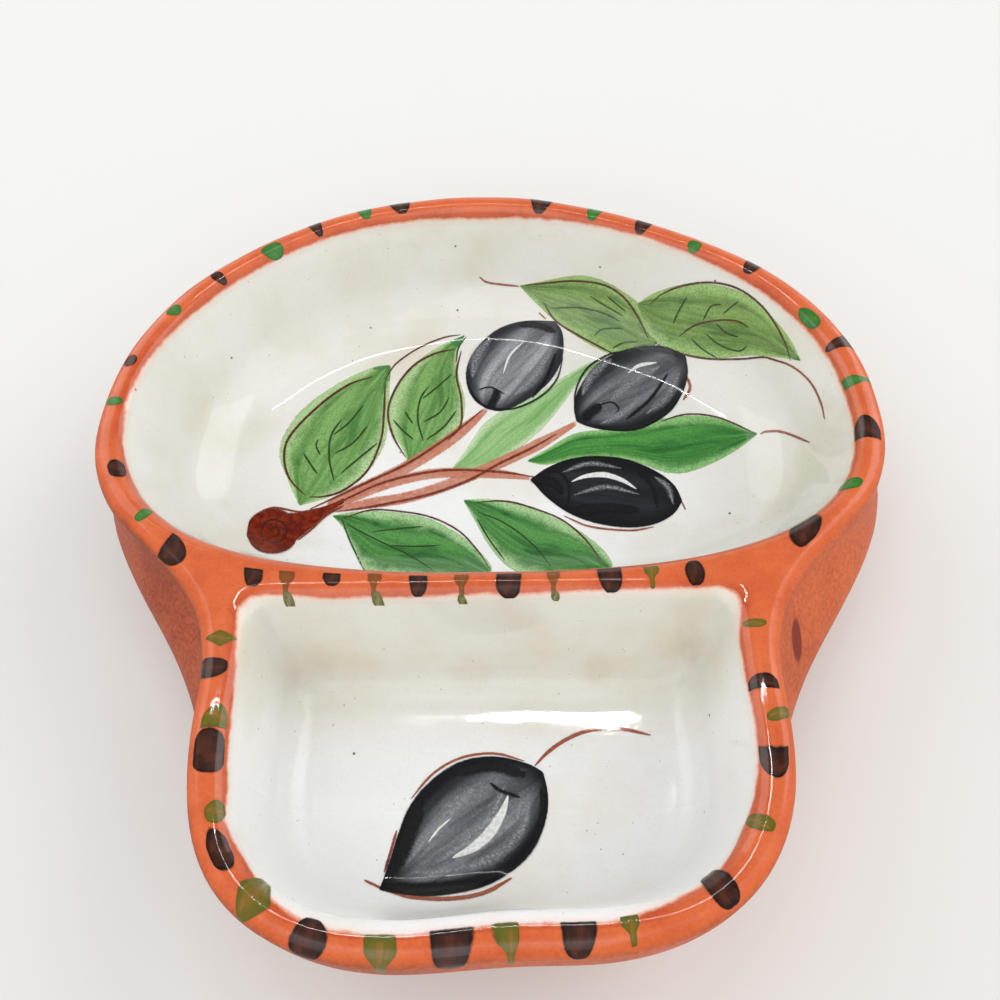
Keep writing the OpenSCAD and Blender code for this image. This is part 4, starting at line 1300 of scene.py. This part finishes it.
def dab_half_width(kind, t):
    """Share of a dab's width at t, from 0 towards the slip to 1 outside."""
    if kind in ("oval", "left", "right"):
        return np.clip(1 - np.abs(2 * t - 1) ** 2, 0, 1) ** 0.5
    if kind == "cap":
        return np.clip(1 - t ** 3.2, 0, 1) ** 0.5 * np.clip(t / 0.1 + 0.7, 0, 1)
    if kind == "tongue":
        return np.clip(1 - t ** 2.3, 0, 1) ** 0.6 * np.clip(t / 0.1 + 0.85, 0, 1)
    if kind == "cup":
        return (np.clip(1 - (1 - t) ** 2, 0, 1) * np.clip(1 - t ** 5, 0, 1)) ** 0.5
    if kind == "wedge":
        return ((0.2 + 0.8 * t ** 0.8) * np.clip(1 - t ** 12, 0, 1) ** (1 / 3)
                * np.clip(t / 0.1, 0, 1))
    if kind == "drip":
        narrow = np.clip((t - 0.25) / 0.35, 0, 1)
        return ((1 - 0.66 * narrow ** 2 * (3 - 2 * narrow)) * np.clip(1 - t ** 8, 0, 1) ** (1 / 3)
                * np.clip(t / 0.06 + 0.6, 0, 1))
    return 1 - np.abs(2 * t - 1)


def across_divider(form, x):
    """Where a dab's lanes start on the divider, which way they run, how far
    it is to the bowl's edge, and the rounding they run out over."""
    start = np.full_like(x, form.divider_y)
    y, _ = halve(start, np.full_like(x, form.bowl_y),
                 lambda mid: form.gap("bowl", x, mid, form.WAIST) <= 0, DAB_HALVINGS)
    return (x, y), (np.zeros_like(x), -np.ones_like(x)), y - form.divider_y, form.tray_r


def across_rim(form, shape, turn, offset):
    """The same for a dab on the rim, from the well's edge outwards."""
    left, right = (form.edge(shape, turn + step) for step in (-DAB_TURN, DAB_TURN))
    speed = math.hypot(right[0] - left[0], right[1] - left[1]) / (2 * DAB_TURN)
    turns = turn + offset / speed
    x, y = form.edge(shape, turns)
    x1, y1 = form.edge(shape, turns - DAB_TURN / 2)
    x2, y2 = form.edge(shape, turns + DAB_TURN / 2)
    size = np.hypot(x2 - x1, y2 - y1)
    nx, ny = (y2 - y1) / size, -(x2 - x1) / size
    thick, _ = halve(np.zeros_like(x), np.full_like(x, THICKEST_RIM),
                     lambda mid: form.gap("dish", x + nx * mid, y + ny * mid, form.WAIST) > 0,
                     DAB_HALVINGS)
    return (x, y), (nx, ny), thick, form.bowl_r


def rim_mark(form, name, shape, dab, divider=False):
    """A dab laid across the rim from the slip's edge towards the outside."""
    place, start, stop, width, kind, slant = dab
    along = np.linspace(0, 1, DAB_ROWS + 1)[:, None]
    across = np.linspace(-0.5, 0.5, DAB_LANES + 1)[None, :]
    side = {"left": -0.5, "right": 0.5}.get(kind, 0.0)
    # The brush's edge wavers a little, differently at each dab
    uneven = 1 + 0.07 * np.sin(5 * along + 1.7 * place + 4 * across)
    offset = ((across + side) * np.maximum(dab_half_width(kind, along), 0.03) * uneven
              + slant * (along - 0.5)) * width
    if divider:
        (x, y), (nx, ny), thick, r_out = across_divider(form, place + offset)
    else:
        (x, y), (nx, ny), thick, r_out = across_rim(form, shape, np.radians(place), offset)
    r_in = form.wells[shape].lip_r
    arc_in, arc_out = r_in * math.pi / 2, r_out * math.pi / 2
    flat = np.maximum(thick - r_in - r_out, 0.0)
    run = (start + (stop - start) * along) * (arc_in + flat + arc_out)
    a_in = np.clip(run / r_in, 0, math.pi / 2)
    on_flat = np.clip(run - arc_in, 0, flat)
    a_out = np.clip((run - arc_in - flat) / r_out, 0, math.pi / 2)
    down = np.maximum(run - arc_in - flat - arc_out, 0)
    reach = r_in * (1 - np.cos(a_in)) + on_flat + r_out * np.sin(a_out)
    # Inside the slip's edge the dab follows the well's wall down
    z = form.rim_h - r_in * (1 - np.sin(a_in)) - r_out * (1 - np.cos(a_out)) - down
    z = z + np.minimum(run, 0)
    piece = start_grid(name, DAB_LANES, DAB_ROWS)
    put_points(piece, np.stack([x + nx * reach, y + ny * reach, z], axis=-1))
    return piece


# Operators


def dish():
    """The dish's form, and its sizes and colours as the panel has them."""
    scene = bpy.context.scene
    return DishForm(scene.olive_dish_sizes), scene.olive_dish_sizes, scene.olive_dish_colours


def needed(name):
    """A piece that another one is laid on."""
    piece = bpy.data.objects.get(name)
    if piece is None:
        raise RuntimeError("Build " + name + " first")
    return piece


def brush_group(name, shape, lines, kind, material, nodes=(),
                crescent=False):
    """One piece from brush lines of a kind in one well: spots and width."""
    form, sizes, _ = dish()
    parts = [stroke(form, name, shape, spots, width, crescent) for spots, width in lines]
    piece = joined(name, parts)
    lay_on(piece, needed(LININGS[shape]), sizes, kind)
    finish_piece(piece, material, nodes)


class OLIVEDISH_OT_clay(bpy.types.Operator):
    """The fired clay: bowl, pit tray, divider and rounded rim"""

    bl_idname = "olive_dish.clay"
    bl_label = "Clay body"

    def execute(self, context):
        form, sizes, colours = dish()
        count = sizes.round_points
        profile = form.outer_profile()
        wall = [form.ring("dish", stop, count) for stop in profile]
        base = shrunk_rings(wall[0], form.middle("dish"), FLOOR_SHARES[::-1])
        step = np.hypot(*np.diff(np.array(profile), axis=0).T)
        down = np.concatenate([np.cumsum(step[::-1])[::-1], [0]]) + CREST
        down = np.concatenate([np.full(len(base), down[0]), down])
        parts = [ring_grid("outer_wall", base + wall, down[:, None])]
        for shape in LININGS:
            under = form.slip_profile(shape, form.slip_t)
            rings = [form.ring(shape, stop, count) for stop in under + form.lip_profile(shape)]
            floor = shrunk_rings(rings[0], form.middle(shape), FLOOR_SHARES[::-1])
            arc = form.wells[shape].lip_r * form.LIP_TURNS[:, None] - slip_creep(shape, count)
            inside = np.full((len(floor) + len(under), count + 1), -CREST)
            parts.append(ring_grid(shape + "_hollow", floor + rings,
                                   np.vstack([inside, np.maximum(arc, -CREST)])))
        piece = joined("dish_clay", parts)
        in_edit_mode(piece, merge_seam, fill_openings, face_outwards)
        wobble(piece, sizes)
        finish_piece(piece, glazed_redware(colours), ("bowl_body", "tray_body"))
        return {"FINISHED"}


class OLIVEDISH_OT_slip(bpy.types.Operator):
    """The white slip that lines both wells"""

    bl_idname = "olive_dish.slip"
    bl_label = "Slip linings"

    def execute(self, context):
        form, sizes, colours = dish()
        count = sizes.round_points
        material = glazed_slip(colours)
        for shape, node in (("bowl", "bowl_slip"), ("pit", "tray_slip")):
            under, over = ([form.ring(shape, stop, count)
                            for stop in form.slip_profile(shape, grow)]
                           for grow in (form.slip_t, 0))
            middle = form.middle(shape)
            rings = (shrunk_rings(under[0], middle, FLOOR_SHARES[::-1]) + under + over[::-1]
                     + shrunk_rings(over[0], middle, FLOOR_SHARES))
            top = form.rim_h - form.wells[shape].lip_r
            heights = np.clip([ring[0, 2] - top for ring in rings], -CREST, 0)
            piece = ring_grid(LININGS[shape], rings, heights[:, None] - slip_creep(shape, count))
            in_edit_mode(piece, merge_seam, face_outwards)
            wobble(piece, sizes)
            finish_piece(piece, material, (node,))
        return {"FINISHED"}


class OLIVEDISH_OT_foot(bpy.types.Operator):
    """The bare clay foot, which keeps its own solid"""

    bl_idname = "olive_dish.foot"
    bl_label = "Foot"

    def execute(self, context):
        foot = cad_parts["foot_pad"]
        foot.data.materials.clear()
        foot.data.materials.append(bare_redware())
        return {"FINISHED"}


class OLIVEDISH_OT_leaves(bpy.types.Operator):
    """The green washes of the leaves"""

    bl_idname = "olive_dish.leaves"
    bl_label = "Leaves"

    def execute(self, context):
        form, sizes, _ = dish()
        washes = {name: leaf_wash(name, *look) for name, look in LEAF_WASHES.items()}
        for name, (left, right, wash) in LEAVES.items():
            piece = patch(form, "painted_" + name, "bowl", left, right)
            lay_on(piece, needed(LININGS["bowl"]), sizes,
                   "upper leaf" if name in UPPER_LEAVES else "leaf")
            finish_piece(piece, washes[wash], (name,))
        return {"FINISHED"}


class OLIVEDISH_OT_twig(bpy.types.Operator):
    """The cut knob of the twig and the stems that leave it"""

    bl_idname = "olive_dish.twig"
    bl_label = "Twig"

    def execute(self, context):
        form, sizes, colours = dish()
        wash = brush_line("stem_wash", colours.stem_pink, "#E0A48E", 0.7, side=0.3,
                          strength=0.92)
        knob_wash = brush_line("knob_wash", colours.knob_brown, "#8E300A", 0.8, side=0.12,
                               grain_mm=1.8, wear=0, coat=0.2)
        brush_group("painted_stems", "bowl", STEMS, "stem", wash, ("branch_stems",))
        piece = joined("painted_knob", [
            patch(form, "cone", "bowl", *CONE, lanes=8, steps=16),
            patch(form, "knob", "bowl", *KNOB, lanes=12, steps=20)])
        lay_on(piece, needed(LININGS["bowl"]), sizes, "knob")
        finish_piece(piece, knob_wash, ("branch_knob",))
        brush_group("painted_stem_lines", "bowl", STEM_LINES, "stem line",
                    brush_line("stem_line", colours.stem_brown, "#A0543A"))
        brush_group("painted_knob_rings", "bowl", KNOB_RINGS, "knob ring",
                    brush_line("knob_ring", "#3E0F06", "#571A0A"))
        return {"FINISHED"}


class OLIVEDISH_OT_olives(bpy.types.Operator):
    """The four painted olives, with their lights and darks"""

    bl_idname = "olive_dish.olives"
    bl_label = "Olives"

    def execute(self, context):
        form, sizes, _ = dish()
        washes = {name: olive_wash(name, *look) for name, look in OLIVE_WASHES.items()}
        for name, (left, right, wash) in OLIVES.items():
            shape = "pit" if name == "tray_olive" else "bowl"
            piece = patch(form, "painted_" + name, shape, left, right, lanes=16, steps=32)
            lay_on(piece, needed(LININGS[shape]), sizes, "olive")
            finish_piece(piece, washes[wash], (name,))
        # Soft grey streaks, then the blacks, then the crescents of light
        looks = (("olive_greys", OLIVE_GREYS, ("#AEB0B6", "#7C7E84", 0.8, 0.9, 0.66)),
                 ("olive_darks", OLIVE_DARKS, ("#050609", "#101116", 0.4, 0.6, 0.95)),
                 ("olive_lights", OLIVE_LIGHTS, ("#F0F0EE", "#C4C6CA", 0.4, 0.35, 0.98)))
        for name, lines, look in looks:
            material = brush_line(name, *look, grain_mm=0.6)
            for shape in LININGS:
                brush_group("painted_" + name + "_" + shape, shape, lines[shape], name,
                            material, crescent=name != "olive_darks")
        return {"FINISHED"}


class OLIVEDISH_OT_lines(bpy.types.Operator):
    """The thin brown lines: leaf outlines, veins, tendrils, tray stem"""

    bl_idname = "olive_dish.lines"
    bl_label = "Brush lines"

    def execute(self, context):
        _, _, colours = dish()
        outline = brush_line("leaf_outline", colours.line_brown, "#7A4527", 0.6, side=0.45)
        vein = brush_line("leaf_vein", colours.vein_green, "#476326", 0.6, side=0.45)
        # The long lines run round a leaf, the short ones are its veins
        for name, pen, is_long in (("painted_leaf_outlines", outline, True),
                                   ("painted_leaf_veins", vein, False)):
            brush_group(name, "bowl", [line for line in LEAF_LINES
                                       if (len(line[0]) > VEIN_SPOTS) == is_long],
                        "leaf line", pen)
        brush_group("painted_tendrils", "bowl", TENDRILS, "tendril",
                    brush_line("tendril_line", "#8E432B", "#B87C66", 0.6))
        red = brush_line("tray_line", "#96452B", "#B87058", 0.4)
        brush_group("painted_tray_stem", "pit", TRAY_STEM, "tray line", red,
                    ("tray_olive_stem",))
        brush_group("painted_tray_lines", "pit", TRAY_LINES, "tray line", red)
        return {"FINISHED"}


class OLIVEDISH_OT_dabs(bpy.types.Operator):
    """The brown and green dabs along the rim and the divider"""

    bl_idname = "olive_dish.dabs"
    bl_label = "Rim dabs"

    def execute(self, context):
        form, sizes, colours = dish()
        brown = rim_dab("dab_brown", colours.dab_brown, "#54291A", 0.92)
        green = rim_dab("dab_green", colours.dab_green, "#4A8636", 0.88)
        olive = rim_dab("dab_olive", colours.dab_olive, "#82782A", 0.6, 0.9)
        faint = rim_dab("dab_faint", "#33400E", "#4C541A", 0.8, 0.5)
        groups = (
            ("bowl_rim_brown", "bowl", BOWL_BROWN, brown, "dark_brown_paint", "brown dab"),
            ("bowl_rim_green", "bowl", BOWL_GREEN, green, "green_paint", "green dab"),
            ("tray_rim_brown", "pit", TRAY_BROWN, brown, "dark_brown_paint", "brown dab"),
            ("tray_rim_green", "pit", TRAY_GREEN, olive, "green_paint", "green dab"),
            ("divider_brown", "bowl", DIVIDER_BROWN, brown, "dark_brown_paint", "brown dab"),
            ("divider_green", "bowl", DIVIDER_GREEN, olive, "green_paint", "green dab"),
            ("divider_faint", "bowl", DIVIDER_FAINT, faint, None, "faint dab"),
        )
        for node, shape, dabs, material, slot, kind in groups:
            piece = joined("dabs_" + node, [
                rim_mark(form, node, shape, dab, node.startswith("divider")) for dab in dabs])
            in_edit_mode(piece, face_outwards)
            lay_on(piece, needed("dish_clay"), sizes, kind)
            finish_piece(piece, material, (node,) if slot else ())
        return {"FINISHED"}


def softbox(name, place, target, size_x, size_y, watts):
    """A rectangular lamp, turned towards a point."""
    light = bpy.data.lights.new(name, "AREA")
    light.shape = "RECTANGLE"
    light.size, light.size_y, light.energy = size_x, size_y, watts
    lamp = bpy.data.objects.new(name, light)
    bpy.context.scene.collection.objects.link(lamp)
    lamp.location = place
    lamp.rotation_euler = (Vector(target) - lamp.location).to_track_quat("-Z", "Y").to_euler()


def pale_world():
    """Pale all round, a little brighter on the right, and dim where the
    wells' floors would mirror it back to the camera."""
    world = bpy.data.worlds.new("pale_studio")
    world.use_nodes = True
    tree = world.node_tree
    tree.nodes.clear()
    way = add_node(tree, "TexCoord", out="Generated")
    mirrored = add_node(tree, "VectorMath", (way, MIRRORED_WAY), "Value",
                        operation="DOT_PRODUCT")
    dim = add_node(tree, "MapRange", (mirrored, 0.74, 0.95, 1, 0.25), **SMOOTH)
    x = add_node(tree, "SeparateXYZ", (way,), "X")
    level = add_node(tree, "Math", (x, 0.14, 0.91), operation="MULTIPLY_ADD")
    level = add_node(tree, "Math", (dim, level), operation="MULTIPLY")
    back = add_node(tree, "Background", {"Color": (1, 1, 1, 1), "Strength": level})
    tree.links.new(back, tree.nodes.new("ShaderNodeOutputWorld").inputs["Surface"])
    return world


def photo_camera():
    """The camera at the photograph's place and angle."""
    lens = bpy.data.cameras.new("photo_camera")
    lens.sensor_width = SENSOR_MM
    lens.sensor_fit = "HORIZONTAL"
    lens.lens = SENSOR_MM * FOCAL_SHARE
    lens.clip_start = 0.01
    camera = bpy.data.objects.new("photo_camera", lens)
    bpy.context.scene.collection.objects.link(camera)
    right, up, forward = camera_axes()
    axes = Matrix((right, up, -forward)).transposed().to_4x4()
    camera.matrix_world = Matrix.Translation(Vector(CAMERA_MM) * MM) @ axes
    return camera


class OLIVEDISH_OT_stage(bpy.types.Operator):
    """The floor, the lamps, the world and the camera"""

    bl_idname = "olive_dish.stage"
    bl_label = "Stage"

    def execute(self, context):
        scene = context.scene
        bpy.ops.object.select_all(action="DESELECT")
        bpy.ops.mesh.primitive_plane_add(size=6)
        floor = bpy.context.object
        floor.name = "stage_floor"
        material, tree, shader = new_material("stage_paper")
        set_surface(tree, shader, linear("#E6E6E3"), roughness=0.9, coat=0.0)
        floor.data.materials.append(material)
        for lamp in LAMPS:
            softbox(*lamp)
        scene.world = pale_world()
        scene.camera = photo_camera()
        scene.view_settings.view_transform = "Standard"
        return {"FINISHED"}


class OLIVEDISH_PT_panel(bpy.types.Panel):
    """Lists the steps that build the dish"""

    bl_label = "Olive Dish"
    bl_idname = "OLIVEDISH_PT_panel"
    bl_space_type = "VIEW_3D"
    bl_region_type = "UI"
    bl_category = "Olive Dish"

    def draw(self, context):
        layout = self.layout
        for group in (context.scene.olive_dish_sizes, context.scene.olive_dish_colours):
            column = layout.column(align=True)
            for name in group.bl_rna.properties.keys():
                if name not in ("rna_type", "name"):
                    column.prop(group, name)
        for operator in STEPS:
            layout.operator(operator.bl_idname)


STEPS = (OLIVEDISH_OT_clay, OLIVEDISH_OT_slip, OLIVEDISH_OT_foot, OLIVEDISH_OT_leaves,
         OLIVEDISH_OT_twig, OLIVEDISH_OT_olives, OLIVEDISH_OT_lines, OLIVEDISH_OT_dabs,
         OLIVEDISH_OT_stage)
CLASSES = (DishSizes, DishColours) + STEPS + (OLIVEDISH_PT_panel,)


def register():
    for cls in CLASSES:
        bpy.utils.register_class(cls)
    bpy.types.Scene.olive_dish_sizes = PointerProperty(type=DishSizes)
    bpy.types.Scene.olive_dish_colours = PointerProperty(type=DishColours)


def unregister():
    del bpy.types.Scene.olive_dish_colours
    del bpy.types.Scene.olive_dish_sizes
    for cls in reversed(CLASSES):
        bpy.utils.unregister_class(cls)


def main():
    register()
    bpy.ops.olive_dish.clay()
    bpy.ops.olive_dish.slip()
    bpy.ops.olive_dish.foot()
    bpy.ops.olive_dish.leaves()
    bpy.ops.olive_dish.twig()
    bpy.ops.olive_dish.olives()
    bpy.ops.olive_dish.lines()
    bpy.ops.olive_dish.dabs()
    bpy.ops.olive_dish.stage()


if __name__ == "__main__":
    main()
